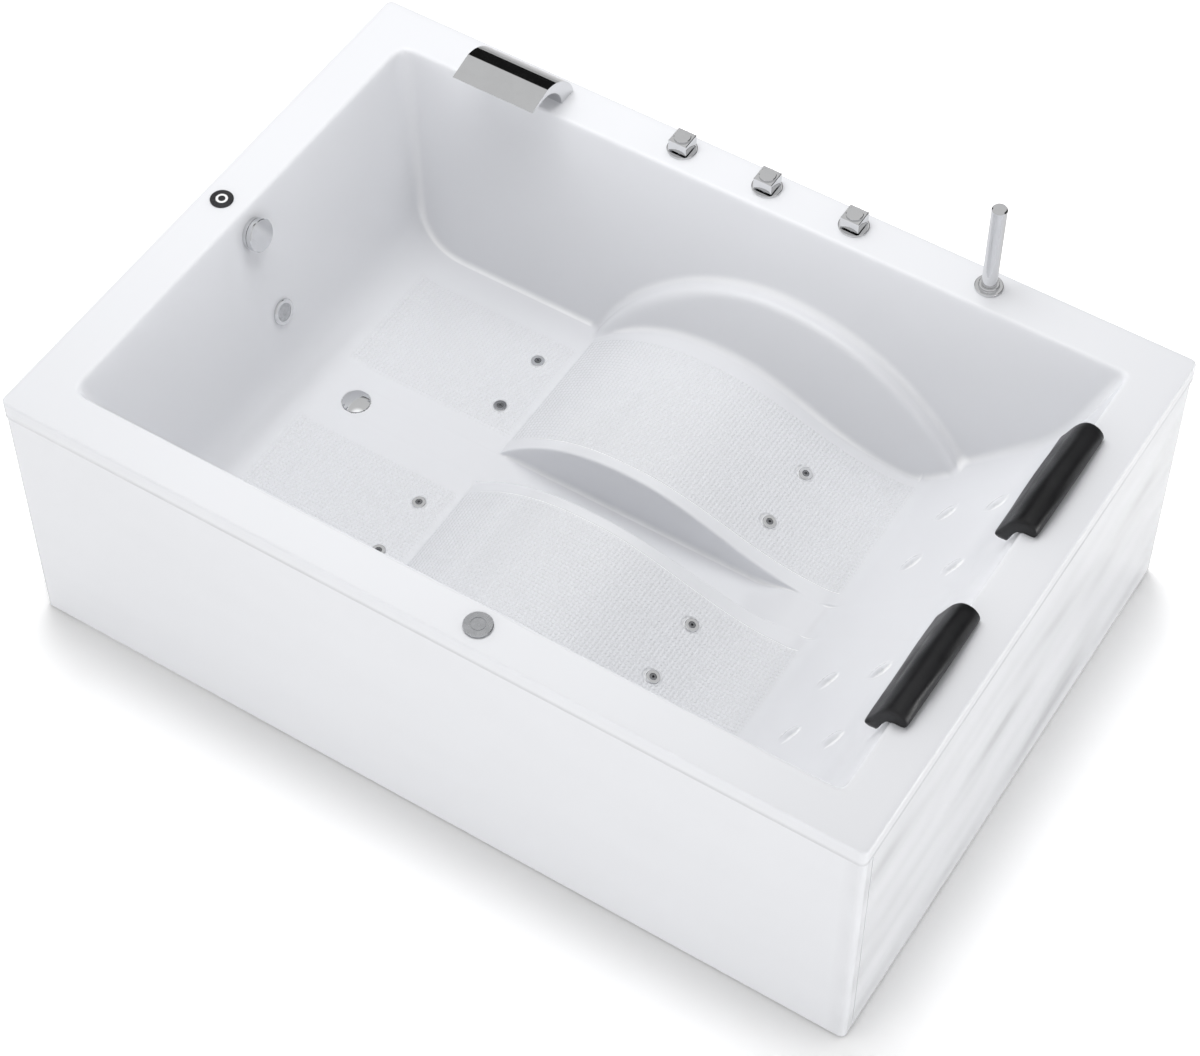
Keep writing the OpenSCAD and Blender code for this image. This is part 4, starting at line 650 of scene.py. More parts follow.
class ShellForm:
    """The tub's moulded surface, where a value that is positive inside the bath's hollow falls to 0."""

    def __init__(self):
        s = sizes()
        self.top = s.rim_height
        self.floor = s.floor_height
        self.lean = math.tan(s.draft)
        self.cos = math.cos(s.draft)
        self.x0 = SHELL_LOW.x + FOOT_RIM
        self.x1 = SHELL_HIGH.x - HEAD_RIM
        bath = self.x1 - self.x0
        self.lounge0 = self.x0 + FOOT_WELL * bath
        self.crest_run = CREST_RUN * bath
        self.crest = self.lounge0 + self.crest_run
        self.seat_run = SEAT_RUN * bath
        self.seat0 = self.crest + self.seat_run
        self.seat1 = self.seat0 + BACK_TURN * bath
        self.crest_rise = s.crest_rise
        self.seat_rise = s.seat_rise
        self.channel = s.channel / 2
        self.bump = s.bump_height
        self.back_run = self.x1 - self.seat1
        rise = self.top - self.floor - self.seat_rise
        self.low_slope = BACK_BEND_UP * rise / (BACK_BEND_ALONG * self.back_run)
        self.high_slope = (1 - BACK_BEND_UP) * rise / ((1 - BACK_BEND_ALONG) * self.back_run)
        wall_foot = (self.top - self.floor) * self.lean
        self.seat_half = BATH_HALF_WIDTH - LEDGE_STEP - wall_foot
        across = [MIDDLE_Y + side * share * self.seat_half for side in (1, -1) for share in JETS_ACROSS]
        self.foot_jets = [(self.lounge0 - FOOT_JETS_BEFORE, y) for y in across]
        self.seat_jets = [(self.crest + SEAT_JETS_ALONG * self.seat_run, y) for y in across]
        rounding = FOOT_WALL_RADIUS / math.tan((math.pi / 2 + s.draft) / 2)
        self.drain = (self.x0 + wall_foot + rounding + DRAIN_FROM_WALL, MIDDLE_Y)
        low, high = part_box("start_ring")
        self.start = ((low.x + high.x) / 2, (low.y + high.y) / 2)
        self.start_reach = (high.x - low.x) / 2 + START_HOLE_MARGIN

    def lounge_line(self, x):
        """Height of the lounges, seats and backrest along the tub."""
        rise = eased(x, self.lounge0, self.crest)
        fall = eased(x, self.crest, self.seat0)
        up = self.crest_rise * (1 - (1 - rise) ** LOUNGE_FULLNESS)
        down = self.seat_rise + (self.crest_rise - self.seat_rise) * (1 + np.cos(np.pi * fall)) / 2
        seat = self.floor + np.where(x < self.crest, up, down)
        return smooth_max(seat, self.back_line(x), SEAT_TO_BACK)

    def back_line(self, x):
        """Height of the backrest's two slopes along the tub."""
        low = self.floor + self.seat_rise + (x - self.seat1) * self.low_slope
        high = self.top + (x - self.x1) * self.high_slope
        return smooth_max(low, high, BACK_BEND_ROUND)

    def channel_line(self, x):
        """Height of the channel's floor along the tub."""
        climb = eased(x, self.seat0 - BED_CLIMB, self.seat0)
        floor = self.floor + self.seat_rise * (1 - np.cos(np.pi * climb)) / 2
        return smooth_max(floor, self.back_line(x), BED_TO_BACK)

    def bump_lift(self, x, y):
        """Height of the massage bumps over the backrest."""
        slope = math.atan(self.low_slope)
        lift = np.zeros_like(x)
        for along, across in BUMPS:
            for side in (-1, 1):
                u = (x - self.seat1 - along * self.back_run) / math.cos(slope)
                v = y - MIDDLE_Y - side * across * self.seat_half
                a = (u * math.cos(BUMP_TURN) + v * math.sin(BUMP_TURN)) / BUMP_HALF_LENGTH
                b = (-u * math.sin(BUMP_TURN) + v * math.cos(BUMP_TURN)) / BUMP_HALF_WIDTH
                body = np.clip(1 - a * a - b * b, 0, 1)
                lift = np.maximum(lift, self.bump * body ** BUMP_FULLNESS / math.cos(slope))
        return lift

    def relief(self, x, y):
        """Massage bumps, the jets' lips and cups, and the fine groove beside the channel."""
        lift = self.bump_lift(x, y)
        for jx, jy in self.foot_jets + self.seat_jets:
            r = np.hypot(x - jx, y - jy)
            lift += JET_LIP_HEIGHT * np.exp(-((r - JET_LIP_RADIUS) / JET_LIP_SIZE) ** 2)
        for jx, jy in self.seat_jets:
            r = np.hypot(x - jx, y - jy)
            cup = JET_CUP_RADIUS - np.hypot(x - jx + JET_CUP_SHIFT, y - jy)
            lift -= JET_CUP_DEPTH * eased(cup, 0, 0.004) * eased(r, 0.0125, 0.0145)
        off = np.abs(y - MIDDLE_Y)
        begin = self.lounge0 + np.where(y > MIDDLE_Y, GROOVE_START_BACK, GROOVE_START_FRONT)
        ends = eased(x, begin, begin + GROOVE_END) * eased(self.seat1 + GROOVE_END - x, 0, GROOVE_END)
        lift -= GROOVE_SIZE * np.exp(-((off - GROOVE_FROM_MIDDLE) / GROOVE_SIZE) ** 2) * ends
        return lift

    def hollow(self, x, y, z, relief):
        """How far a point lies inside the bath's hollow."""
        off = np.abs(y - MIDDLE_Y)
        reach = BATH_HALF_WIDTH - (self.top - z) * self.lean
        full = (reach - off) * self.cos
        ledge = (reach - LEDGE_STEP - off) * self.cos
        peak = self.lounge0 + LEDGE_PEAK * self.crest_run
        radius = np.where(x < peak, LEDGE_FOOT_RADIUS, LEDGE_HEAD_RADIUS)
        arch = np.hypot(x - peak, z - self.floor - LEDGE_RISE + radius) - radius
        fade = LEDGE_TO_FACE + FOOT_LEDGE_EXTRA * eased(peak - 0.10 - x, 0, 0.12)
        side = smooth_max(smooth_min(full, arch, WALL_TO_LEDGE), ledge, fade)
        line = self.lounge_line(x)
        steep = (self.lounge_line(x + SLOPE_REACH) - self.lounge_line(x - SLOPE_REACH)) / (2 * SLOPE_REACH)
        seats = (z - line - relief) / np.sqrt(1 + steep ** 2)
        bed = self.channel_line(x)
        cut = (self.channel + (z - self.floor) * CHANNEL_LEAN - off) / math.hypot(1, CHANNEL_LEAN)
        channel = smooth_min(cut, z - bed, BED_TO_CHANNEL)
        ridge = np.clip(RIDGE_SHARE * (line - bed), RIDGE_LEAST, RIDGE_MOST)
        bottom = smooth_max(seats, channel, ridge)
        wall = (x - self.x0 - (self.top - z) * self.lean) * self.cos
        base = smooth_min(bottom, wall, FOOT_WALL_RADIUS)
        corner = FLOOR_CORNER + CORNER_GROWTH * eased(z, self.floor, self.top)
        at_head = np.clip(corner, HEAD_CORNER_LEAST, HEAD_CORNER_MOST)
        corner = np.where(x > self.seat1, at_head, corner)
        return smooth_min(base, side, corner)

    def surface(self, x, y, grow):
        """Height of the surface at each place; grow is 0 on top and the skin's thickness below."""
        on_top = grow == 0
        relief = self.relief(x, y) if on_top else np.zeros_like(x)
        rounding = RIM_ROUNDING if on_top else UNDER_ROUNDING
        low = np.full_like(x, self.floor - SEARCH_DEPTH)
        high = np.full_like(x, self.top - grow)
        for _ in range(BISECTIONS):
            z = (low + high) / 2
            inside = smooth_max(self.hollow(x, y, z, relief) + grow, z - self.top + grow, rounding) > 0
            high = np.where(inside, z, high)
            low = np.where(inside, low, z)
        return (low + high) / 2


def spaced(*runs):
    """Grid lines from stretches of (start, end, step)."""
    lines = []
    for start, end, step in runs:
        count = max(1, int(round((end - start) / step)))
        lines += [start + (end - start) * i / count for i in range(count)]
    return lines + [runs[-1][1]]


def shell_grid():
    """Lines along and across the tub, close together where the surface bends."""
    xs = spaced(
        (SHELL_LOW.x + SKIRT_INSET, -0.826, 0.003), (-0.826, -0.796, 0.002), (-0.796, -0.700, 0.007),
        (-0.700, -0.612, 0.005), (-0.612, -0.536, 0.0016), (-0.536, -0.350, 0.010), (-0.350, -0.308, 0.0013),
        (-0.308, -0.302, 0.003), (-0.302, -0.282, 0.005), (-0.282, -0.220, 0.0025), (-0.220, 0.266, 0.009),
        (0.266, 0.314, 0.0013), (0.314, 0.425, 0.008), (0.425, 0.500, 0.0025), (0.500, 0.735, 0.004),
        (0.735, 0.790, 0.007), (0.790, 0.818, 0.002), (0.818, SHELL_HIGH.x - SKIRT_INSET, 0.014))
    side = spaced(
        (0.0, 0.034, 0.0016), (0.034, 0.066, 0.0014), (0.066, 0.0745, 0.003), (0.0745, 0.0805, 0.0008),
        (0.0805, 0.122, 0.007), (0.122, 0.164, 0.0014), (0.164, 0.260, 0.007), (0.260, 0.302, 0.0014),
        (0.302, 0.380, 0.007), (0.380, 0.398, 0.0011), (0.398, 0.500, 0.0026), (0.500, 0.522, 0.004),
        (0.522, 0.542, 0.002))
    front = [MIDDLE_Y - v for v in side]
    back = [MIDDLE_Y + v for v in side]
    front += spaced((front[-1], SHELL_LOW.y + SKIRT_INSET, 0.014))[1:]
    back += spaced((back[-1], SHELL_HIGH.y - SKIRT_INSET, 0.014))[1:]
    return np.array(xs), np.array(front[::-1] + back[1:])


def sink_wells(form, x, y, z):
    """Sinks the wells of the jets and the drain into the upper surface, and marks them for the near-black of
    the painted shade.
    """
    deep = np.zeros(z.shape, bool)
    for jx, jy in form.foot_jets + form.seat_jets:
        deep |= np.hypot(x - jx, y - jy) < JET_WELL_RADIUS
    z[deep] -= JET_WELL_DEPTH
    r = np.hypot(x - form.drain[0], y - form.drain[1])
    seat = r < DRAIN_SEAT_RADIUS
    z[seat] = np.minimum(z[seat], form.floor - DRAIN_SEAT_DEPTH)
    bore = r < DRAIN_BORE_RADIUS
    z[bore] = form.floor - DRAIN_BORE_DEPTH
    return deep | bore


def start_opening(form, x, y, index):
    """Cells of the grid that the start button's hole takes away, and the walls down to the underside."""
    cell_x = (x[:-1, :-1] + x[1:, 1:]) / 2
    cell_y = (y[:-1, :-1] + y[1:, 1:]) / 2
    gone = np.hypot(cell_x - form.start[0], cell_y - form.start[1]) < form.start_reach
    walls = []
    for i, j in np.argwhere(gone):
        corner = [index[i, j], index[i + 1, j], index[i + 1, j + 1], index[i, j + 1]]
        for k, beside in enumerate(((i, j - 1), (i + 1, j), (i, j + 1), (i - 1, j))):
            if not gone[beside]:
                near, far = int(corner[k]), int(corner[(k + 1) % 4])
                walls.append((near, far, far + index.size, near + index.size))
    return gone.reshape(-1), walls


def rim_outline(columns, rows):
    """Border places of the grid in order, each with its outward direction, fanned out at the corners."""
    last_i, last_j = columns - 1, rows - 1
    sides = (
        ((0, 0), (0, -1), [(i, 0) for i in range(1, last_i)]),
        ((last_i, 0), (1, 0), [(last_i, j) for j in range(1, last_j)]),
        ((last_i, last_j), (0, 1), [(i, last_j) for i in range(last_i - 1, 0, -1)]),
        ((0, last_j), (-1, 0), [(0, j) for j in range(last_j - 1, 0, -1)]))
    out = []
    for turn, (corner, normal, run) in enumerate(sides):
        for k in range(CORNER_STEPS + 1):
            a = math.radians(180 + 90 * turn + 90 * k / CORNER_STEPS)
            out.append((corner, (math.cos(a), math.sin(a))))
        out += [(place, normal) for place in run]
    return out


def skirt_profile(s):
    """The rolled rim and the skirt down and back up to the underside, as distance outward and height."""
    edge = 0.004
    top, low = s.rim_height, s.rim_height - s.skirt
    outer, inner = SKIRT_INSET, SKIRT_INSET - s.skin
    roll = [math.radians(v) for v in (0, 22.5, 45, 67.5, 90)]
    profile = [(outer - edge + edge * math.sin(t), top - edge + edge * math.cos(t)) for t in roll]
    return profile + [
        (outer, top - 0.016), (outer, top - 0.030), (outer, low + 0.001), (outer - 0.001, low),
        (inner + 0.001, low), (inner, low + 0.001), (inner, top - s.skin)]


def ring_faces(near, far):
    """Faces between two rings of points, without the sides that shrink to nothing."""
    faces = []
    for k in range(len(near)):
        m = (k + 1) % len(near)
        loop = [near[k], far[k], far[m], near[m]]
        kept = [v for n, v in enumerate(loop) if v != loop[n - 1]]
        if len(kept) > 2:
            faces.append(tuple(kept))
    return faces


def smooth_mesh(name, points, faces, angle, slots, dark=()):
    """A smooth mesh, sharp where it bends past the angle; dark marks the faces of the second slot."""
    mesh = bpy.data.meshes.new(name)
    mesh.from_pydata(points, [], faces)
    for slot in slots:
        mesh.materials.append(finish(slot))
    slot_index = np.zeros(len(faces), dtype=np.int32)
    slot_index[:len(dark)] = dark
    mesh.polygons.foreach_set("material_index", slot_index)
    mesh.polygons.foreach_set("use_smooth", np.ones(len(faces), bool))
    mesh.update()
    mesh.set_sharp_from_angle(angle=math.radians(angle))
    return mesh


def build_shell_mesh():
    """One closed mesh: the upper surface, the rolled rim with its skirt, and the underside."""
    s = sizes()
    form = ShellForm()
    xs, ys = shell_grid()
    x, y = np.meshgrid(xs, ys, indexing="ij")
    top = form.surface(x, y, 0.0)
    deep = sink_wells(form, x, y, top)
    under = form.surface(x, y, s.skin)
    rim_edge = np.ones(top.shape, bool)
    rim_edge[1:-1, 1:-1] = False
    top[rim_edge] = s.rim_height
    under[rim_edge] = s.rim_height - s.skin
    points = [np.stack([x, y, top], -1).reshape(-1, 3), np.stack([x, y, under], -1).reshape(-1, 3)]
    count = x.size
    index = np.arange(count).reshape(x.shape)
    a, b, c, d = index[:-1, :-1], index[1:, :-1], index[1:, 1:], index[:-1, 1:]
    upper = np.stack([a, b, c, d], -1).reshape(-1, 4)
    lower = np.stack([d, c, b, a], -1).reshape(-1, 4) + count
    # Faces touching a well take the second slot, a near-black painted shade
    touched = (deep[:-1, :-1] | deep[1:, :-1] | deep[1:, 1:] | deep[:-1, 1:]).reshape(-1)
    gone, walls = start_opening(form, x, y, index)
    dark = touched[~gone]
    faces = [tuple(f) for f in upper[~gone].tolist() + lower[~gone].tolist()] + walls

    outline = rim_outline(*x.shape)
    border = np.array([(xs[i], ys[j]) for (i, j), _ in outline])
    push = np.array([normal for _, normal in outline])
    rings = [[int(index[place]) for place, _ in outline]]
    for step, (outward, z) in enumerate(skirt_profile(s)):
        points.append(np.column_stack([border + push * outward, np.full(len(outline), z)]))
        first = 2 * count + step * len(outline)
        rings.append(list(range(first, first + len(outline))))
    rings.append([v + count for v in rings[0]])
    for near, far in zip(rings, rings[1:]):
        faces += ring_faces(near, far)

    points = np.concatenate(points)
    used = np.zeros(len(points), bool)
    used[[v for face in faces for v in face]] = True
    place = (np.cumsum(used) - 1).tolist()
    faces = [tuple(place[v] for v in face) for face in faces]
    return smooth_mesh("moulded_shell", points[used].tolist(), faces, 50, ("acrylic", "dark_bore"), dark)


class BATHTUB_OT_shell(bpy.types.Operator):
    """Build the moulded shell with its bath, lounges, armrests and skirt"""

    bl_idname = "bathtub.shell"
    bl_label = "Moulded shell"

    def execute(self, context):
        shell = place_object("moulded_shell", build_shell_mesh())
        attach(shell, "tub")
        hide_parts("tub_shell")
        return {"FINISHED"}


# Headrest pillows

# The section, from under the hook round to the outside, as shares of a pillow's width and drop
PILLOW_SECTION = [
    (-0.62, -0.53), (-0.585, -0.60), (-0.50, -0.63), (-0.38, -0.63), (-0.30, -0.60),
    (-0.21, -0.34), (-0.11, -0.10), (-0.02, 0.010), (0.10, 0.010), (0.30, 0.010),
    (0.355, 0.06), (0.355, 0.16), (0.30, 0.27), (0.20, 0.36), (0.06, 0.40),
    (-0.08, 0.37), (-0.20, 0.27), (-0.31, 0.12), (-0.42, -0.10), (-0.53, -0.34),
]
FIRST_TOP_POINT = 10
PILLOW_CORE = np.array((-0.35, -0.45))
# Depth from an end and how far the section shrinks there
PILLOW_ENDS = ((0.0, 0.0045), (0.0012, 0.0024), (0.0034, 0.0008))
SEAM_DEPTH, SEAM_WIDTH, SEAM_FROM_END = 0.0009, 0.0016, 0.0085
CREASE_DEPTH, CREASE_WIDTH, CREASE_PLACE, CREASE_FADE = 0.0016, 0.22, 17.35, 0.09
SWELL_HEIGHT, SWELL_FADE = 0.0007, 0.05
CAP_SCALE, CAP_BULGE = 0.82, 0.0012


def rounded_section(points, parts):
    """A smooth closed line through the section's points, each with its place counted in points."""
    out = []
    for i in range(len(points)):
        p0, p1, p2, p3 = (np.array(points[(i + k - 1) % len(points)]) for k in range(4))
        for k in range(parts):
            t = k / parts
            v = 0.5 * (2 * p1 + (p2 - p0) * t + (2 * p0 - 5 * p1 + 4 * p2 - p3) * t ** 2
                       + (3 * p1 - p0 - 3 * p2 + p3) * t ** 3)
            out.append((v, i + t))
    return out


def pillow_push(place, y, from_end, crown, shrink):
    """How far a point of the pillow's skin lies out from the plain section."""
    if place < FIRST_TOP_POINT:
        return -shrink
    top_points = len(PILLOW_SECTION) - FIRST_TOP_POINT
    lift = math.sin(math.pi * (place - FIRST_TOP_POINT) / top_points)
    seam = SEAM_DEPTH * math.exp(-((from_end - SEAM_FROM_END) / SEAM_WIDTH) ** 2)
    crease = CREASE_DEPTH * math.exp(-((place - CREASE_PLACE) / CREASE_WIDTH) ** 2)
    swell = SWELL_HEIGHT * math.sin(31 * y + 2.1 * place) * math.sin(0.9 * place)
    return (crown * lift - shrink - seam - crease * min(1.0, from_end / CREASE_FADE)
            + swell * min(1.0, from_end / SWELL_FADE))


def build_pillow_mesh(name, y_mid):
    """A crowned roll that hooks over the head end's inner edge, with a seam near each end and a crease."""
    s = bpy.context.scene.pillow_sizes
    line = rounded_section(PILLOW_SECTION, 4)
    edge_x, top_z = SHELL_HIGH.x - HEAD_RIM, SHELL_HIGH.z
    rows = [(depth / s.length, shrink) for depth, shrink in PILLOW_ENDS]
    stations = [j / s.stations for j in range(s.stations + 1)]
    middle = [(t, 0.0) for t in stations if 0.02 < t < 0.98]
    rows += middle + [(1 - t, shrink) for t, shrink in reversed(rows)]
    verts = []
    for t, shrink in rows:
        crown = s.crown * (1 - (2 * t - 1) ** 2)
        y = y_mid + (t - 0.5) * s.length
        from_end = min(t, 1 - t) * s.length
        for v, place in line:
            out = (v - PILLOW_CORE) / np.linalg.norm(v - PILLOW_CORE)
            push = pillow_push(place, y, from_end, crown, shrink)
            verts.append((edge_x + v[0] * s.width + out[0] * push, y, top_z + v[1] * s.drop + out[1] * push))
    m = len(line)
    faces = []
    for j in range(len(rows) - 1):
        for k in range(m):
            a, b = j * m + k, j * m + (k + 1) % m
            faces.append((a, b, b + m, a + m))
    for j, side in ((0, -1), (len(rows) - 1, 1)):
        ring = [j * m + k for k in range(m)]
        centre = np.mean([verts[v] for v in ring], axis=0)
        inner = [len(verts) + k for k in range(m)]
        for v in ring:
            p = np.array(verts[v])
            q = centre + (p - centre) * CAP_SCALE
            verts.append((q[0], p[1] + side * CAP_BULGE, q[2]))
        caps = [(ring[k], ring[(k + 1) % m], inner[(k + 1) % m], inner[k]) for k in range(m)] + [tuple(inner)]
        faces += [loop[::side] for loop in caps]
    return smooth_mesh(name, [tuple(float(c) for c in v) for v in verts], faces, 55, ("pillow_skin",))


class BATHTUB_OT_pillows(bpy.types.Operator):
    """Build the two headrest pillows as crowned soft rolls with seams"""

    bl_idname = "bathtub.pillows"
    bl_label = "Headrest pillows"

    def execute(self, context):
        for node, name in (("pillow_back", "headrest_back"), ("pillow_front", "headrest_front")):
            low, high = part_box(node)
            pillow = place_object(name, build_pillow_mesh(name, (low.y + high.y) / 2))
            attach(pillow, "tub")
            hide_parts(node)
        return {"FINISHED"}


# Carried-over nodes

class BATHTUB_OT_aprons(bpy.types.Operator):
    """Finish the apron panels and the brackets behind them"""

    bl_idname = "bathtub.aprons"
    bl_label = "Aprons"

    def execute(self, context):
        dress(["apron_front", "apron_side"], bevel=0.0008)
        dress(["apron_clips"], bevel=0.0004, segments=1)
        return {"FINISHED"}


class BATHTUB_OT_deck_fittings(bpy.types.Operator):
    """Finish the spout, the valve handles, the hand shower and their mountings"""

    bl_idname = "bathtub.deck_fittings"
    bl_label = "Spout, valves and shower"

    def execute(self, context):
        dress(["waterfall_spout"], bevel=0.0006)
        dress(["hot_handle", "cold_handle", "diverter_handle"], bevel=0.0006)
        dress(["valve_escutcheons", "shower_holder"], bevel=0.0004)
        dress(["hand_shower"])
        dress(["valve_bodies", "deck_nuts"], bevel=0.0004, segments=1)
        dress(["mixer_pipe", "spout_pipe", "shower_pipe", "hose_sleeve"])
        return {"FINISHED"}


class BATHTUB_OT_controls(bpy.types.Operator):
    """Finish the start button and the air control"""

    bl_idname = "bathtub.controls"
    bl_label = "Button and air control"

    def execute(self, context):
        dress(["start_bezel", "start_button", "start_ring"], bevel=0.0003)
        dress(["air_knob"], bevel=0.0003)
        dress(["air_body", "air_pipe"])
        return {"FINISHED"}


class BATHTUB_OT_waste(bpy.types.Operator):
    """Finish the overflow, the drain and the trap"""

    bl_idname = "bathtub.waste"
    bl_label = "Overflow and drain"

    def execute(self, context):
        dress(["overflow_ring", "overflow_knob"], bevel=0.0005)
        dress(["drain_flange", "drain_plug"], bevel=0.0002)
        dress(["overflow_body", "drain_body"], bevel=0.0008)
        dress(["overflow_pipe", "pull_cable", "waste_trap"])
        return {"FINISHED"}


class BATHTUB_OT_water_fittings(bpy.types.Operator):
    """Finish the light, the suction grille and the jets"""

    bl_idname = "bathtub.water_fittings"
    bl_label = "Light, grille and jets"

    def execute(self, context):
        dress(["light_bezel", "suction_grille"], bevel=0.0004)
        dress(["light_lens"])
        dress(["jet_bodies"])
        dress(["jet_rings"], bevel=0.0003)
        dress([f"foot_jet_{i}" for i in range(1, 5)] + [f"seat_jet_{i}" for i in range(1, 5)], bevel=0.0003)
        return {"FINISHED"}


class BATHTUB_OT_frame(bpy.types.Operator):
    """Finish the base board, the battens, the steel frame and its feet"""

    bl_idname = "bathtub.frame"
    bl_label = "Frame"

    def execute(self, context):
        dress(["base_board", "seat_battens", "pump_tray"], bevel=0.0006, segments=1)
        dress(["cradle_rails", "cross_tubes", "rim_posts"], bevel=0.0012)
        dress(["leveling_feet"], bevel=0.0006)
        return {"FINISHED"}


class BATHTUB_OT_pump(bpy.types.Operator):
    """Finish the pump, its pipes and the control box"""

    bl_idname = "bathtub.pump"
    bl_label = "Pump and control box"

    def execute(self, context):
        dress(["pump_motor"], bevel=0.0006, segments=1)
        dress(["pump_wet_end", "control_box"], bevel=0.0012)
        dress(["suction_pipe", "supply_pipe"])
        return {"FINISHED"}


# Studio

# Lamps: place, aim, size and power in watts
LAMPS = {
    "overhead": ((-0.60, 0.68, 3.3), (0, 0, 0.6), (2.6, 1.8), 69),
    "front_fill": ((0.2, -3.4, 0.35), (0, -0.6, 0.3), (3.2, 0.6), 20),
    "side_fill": ((3.6, 0.1, 0.35), (0.9, 0.0, 0.3), (2.4, 0.6), 36),
}
FLOOR_HALF_SIZE, FLOOR_LEVEL = 14.0, -0.0006
FLOOR_SHADE, FLOOR_GLOW, FLOOR_SHADOW_REACH = 0.82, 0.12, 0.22
CAMERA_PLACE = (1.9788, -3.1491, 5.0632)
CAMERA_DOWN, CAMERA_TURN = 51.36, 32.20
CAMERA_SENSOR, CAMERA_LENS, CAMERA_SHIFT_Y, CAMERA_FAR = 36, 95.26, -0.0609, 60
WHITE = (1.0, 1.0, 1.0, 1)


def soft_lamp(name, place, target, size, power):
    """A rectangular lamp that faces a point and that the camera does not see."""
    lamp = bpy.data.lights.new(name, "AREA")
    lamp.shape = "RECTANGLE"
    lamp.size, lamp.size_y = size
    lamp.energy = power
    obj = place_object(name, lamp)
    obj.location = place
    obj.rotation_euler = (Vector(target) - obj.location).to_track_quat("-Z", "Y").to_euler()
    obj.visible_camera = False
    return obj


def white_light(tree, strength):
    return add(tree, "ShaderNodeBackground", Color=WHITE, Strength=strength).outputs[0]


def chosen(tree, share, first, second):
    """One of two shaders, by a share."""
    made = add(tree, "ShaderNodeMixShader", Fac=share)
    tree.links.new(first, made.inputs[1])
    tree.links.new(second, made.inputs[2])
    return made.outputs[0]


def build_world():
    """Soft sky light, white where the camera sees it, with a darker band for polished metal to mirror."""
    world = bpy.data.worlds.new("studio")
    bpy.context.scene.world = world
    world.use_nodes = True
    tree = world.node_tree
    tree.nodes.clear()
    path = add(tree, "ShaderNodeLightPath").outputs
    way = split(tree, add(tree, "ShaderNodeTexCoord").outputs["Generated"])
    level = ramp(tree, way["Z"], 0.0, 0.65, 1.92, 0.34)
    head = ramp(tree, way["X"], 0.1, 0.8, 1.0, 0.80)
    front = ramp(tree, way["Y"], -0.8, -0.1, 1.12, 1.0)
    sky = white_light(tree, maths(tree, "MULTIPLY", level, maths(tree, "MULTIPLY", head, front)))
    band = window(tree, way["Z"], -0.35, 0.66, 0.05)
    behind = ramp(tree, way["Y"], 0.0, 0.25)
    dark = maths(tree, "MULTIPLY", maths(tree, "MULTIPLY", band, behind), 0.65)
    bright = ramp(tree, way["Z"], 0.94, 1.0, 0.66, 1.4)
    mirrored = white_light(tree, maths(tree, "SUBTRACT", bright, dark))
    lit = chosen(tree, path["Is Glossy Ray"], sky, mirrored)
    straight = maths(tree, "MAXIMUM", path["Is Camera Ray"], path["Is Transmission Ray"])
    out = add(tree, "ShaderNodeOutputWorld")
    tree.links.new(chosen(tree, straight, lit, white_light(tree, 1.0)), out.inputs["Surface"])


def build_floor():
    """A pale floor that shows white, with the tub's soft shadow from the lamps and a painted shadow darkened
    in by an occlusion mask near the tub.
    """
    mesh = bpy.data.meshes.new("studio_floor")
    corners = ((-1, -1), (1, -1), (1, 1), (-1, 1))
    points = [(x * FLOOR_HALF_SIZE, y * FLOOR_HALF_SIZE, FLOOR_LEVEL) for x, y in corners]
    mesh.from_pydata(points, [], [(0, 1, 2, 3)])
    floor = place_object("studio_floor", mesh)
    material, tree, shader = start_material("studio_floor", Roughness=0.9, Emission_Color=WHITE)
    seen = add(tree, "ShaderNodeLightPath").outputs["Is Camera Ray"]
    # Painted shadow: for camera rays the floor's colour is darkened where the occlusion mask finds the tub
    # close by, and lifted elsewhere
    shade = add(tree, "ShaderNodeAmbientOcclusion", {"samples": 12}, Distance=FLOOR_SHADOW_REACH)
    floor_tone_with_painted_shadow = ramp(tree, shade.outputs["AO"], 0.45, 0.95, 0.78, 1.36)
    change = maths(tree, "MULTIPLY", seen, maths(tree, "SUBTRACT", floor_tone_with_painted_shadow, FLOOR_SHADE))
    pale = maths(tree, "ADD", FLOOR_SHADE, change)
    even = add(tree, "ShaderNodeCombineColor", Red=pale, Green=pale, Blue=pale)
    tree.links.new(even.outputs[0], shader.inputs["Base Color"])
    tree.links.new(maths(tree, "MULTIPLY", seen, FLOOR_GLOW), shader.inputs["Emission Strength"])
    mesh.materials.append(material)


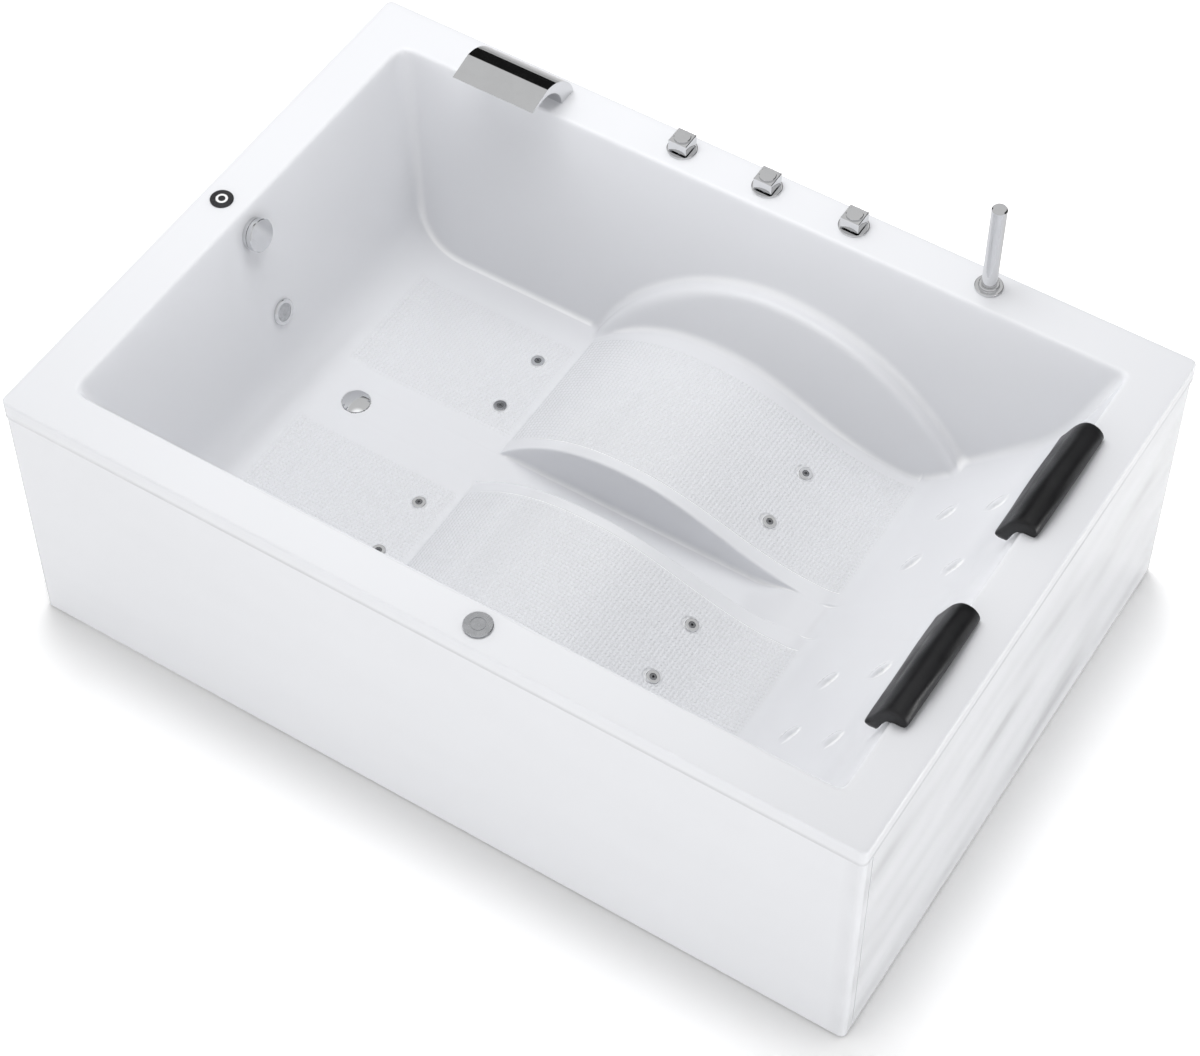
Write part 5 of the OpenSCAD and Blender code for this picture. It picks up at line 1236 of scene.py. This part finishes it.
class BATHTUB_OT_stage(bpy.types.Operator):
    """Build the pale floor, the soft light and the camera"""

    bl_idname = "bathtub.stage"
    bl_label = "Studio"

    def execute(self, context):
        for name in ("Cube", "Light", "Camera"):
            if name in bpy.data.objects:
                bpy.data.objects.remove(bpy.data.objects[name])
        build_world()
        build_floor()
        for name, (place, target, size, power) in LAMPS.items():
            soft_lamp(name, place, target, size, power).visible_glossy = name != "overhead"
        camera = place_object("photo_camera", bpy.data.cameras.new("photo_camera"))
        camera.location = CAMERA_PLACE
        camera.rotation_euler = (math.radians(90 - CAMERA_DOWN), 0, math.radians(CAMERA_TURN))
        camera.data.sensor_width = CAMERA_SENSOR
        camera.data.lens = CAMERA_LENS
        camera.data.shift_y = CAMERA_SHIFT_Y
        camera.data.clip_end = CAMERA_FAR
        context.scene.camera = camera
        context.scene.view_settings.view_transform = "Standard"
        return {"FINISHED"}


class BATHTUB_PT_panel(bpy.types.Panel):
    """Lists the tub's sizes, colours and building steps"""

    bl_idname = "BATHTUB_PT_panel"
    bl_label = "Jetted bathtub"
    bl_space_type = "VIEW_3D"
    bl_region_type = "UI"
    bl_category = "Bathtub"

    def draw(self, context):
        layout = self.layout
        for label, group in (("Tub", context.scene.tub_sizes), ("Pillows", context.scene.pillow_sizes),
                             ("Colours", context.scene.tub_colours)):
            box = layout.box()
            box.label(text=label)
            for name in group.__annotations__:
                box.prop(group, name)
        for step in STEPS:
            layout.operator(step.bl_idname)


STEPS = (
    BATHTUB_OT_shell, BATHTUB_OT_pillows, BATHTUB_OT_aprons, BATHTUB_OT_deck_fittings, BATHTUB_OT_controls,
    BATHTUB_OT_waste, BATHTUB_OT_water_fittings, BATHTUB_OT_frame, BATHTUB_OT_pump, BATHTUB_OT_stage,
)
CLASSES = (TubSizes, PillowSizes, TubColours, *STEPS, BATHTUB_PT_panel)


def register():
    for cls in CLASSES:
        bpy.utils.register_class(cls)
    bpy.types.Scene.tub_sizes = PointerProperty(type=TubSizes)
    bpy.types.Scene.pillow_sizes = PointerProperty(type=PillowSizes)
    bpy.types.Scene.tub_colours = PointerProperty(type=TubColours)


def unregister():
    del bpy.types.Scene.tub_colours
    del bpy.types.Scene.pillow_sizes
    del bpy.types.Scene.tub_sizes
    for cls in reversed(CLASSES):
        bpy.utils.unregister_class(cls)


def main():
    register()
    bpy.ops.bathtub.stage()
    bpy.ops.bathtub.shell()
    bpy.ops.bathtub.pillows()
    bpy.ops.bathtub.aprons()
    bpy.ops.bathtub.deck_fittings()
    bpy.ops.bathtub.controls()
    bpy.ops.bathtub.waste()
    bpy.ops.bathtub.water_fittings()
    bpy.ops.bathtub.frame()
    bpy.ops.bathtub.pump()


if __name__ == "__main__":
    main()
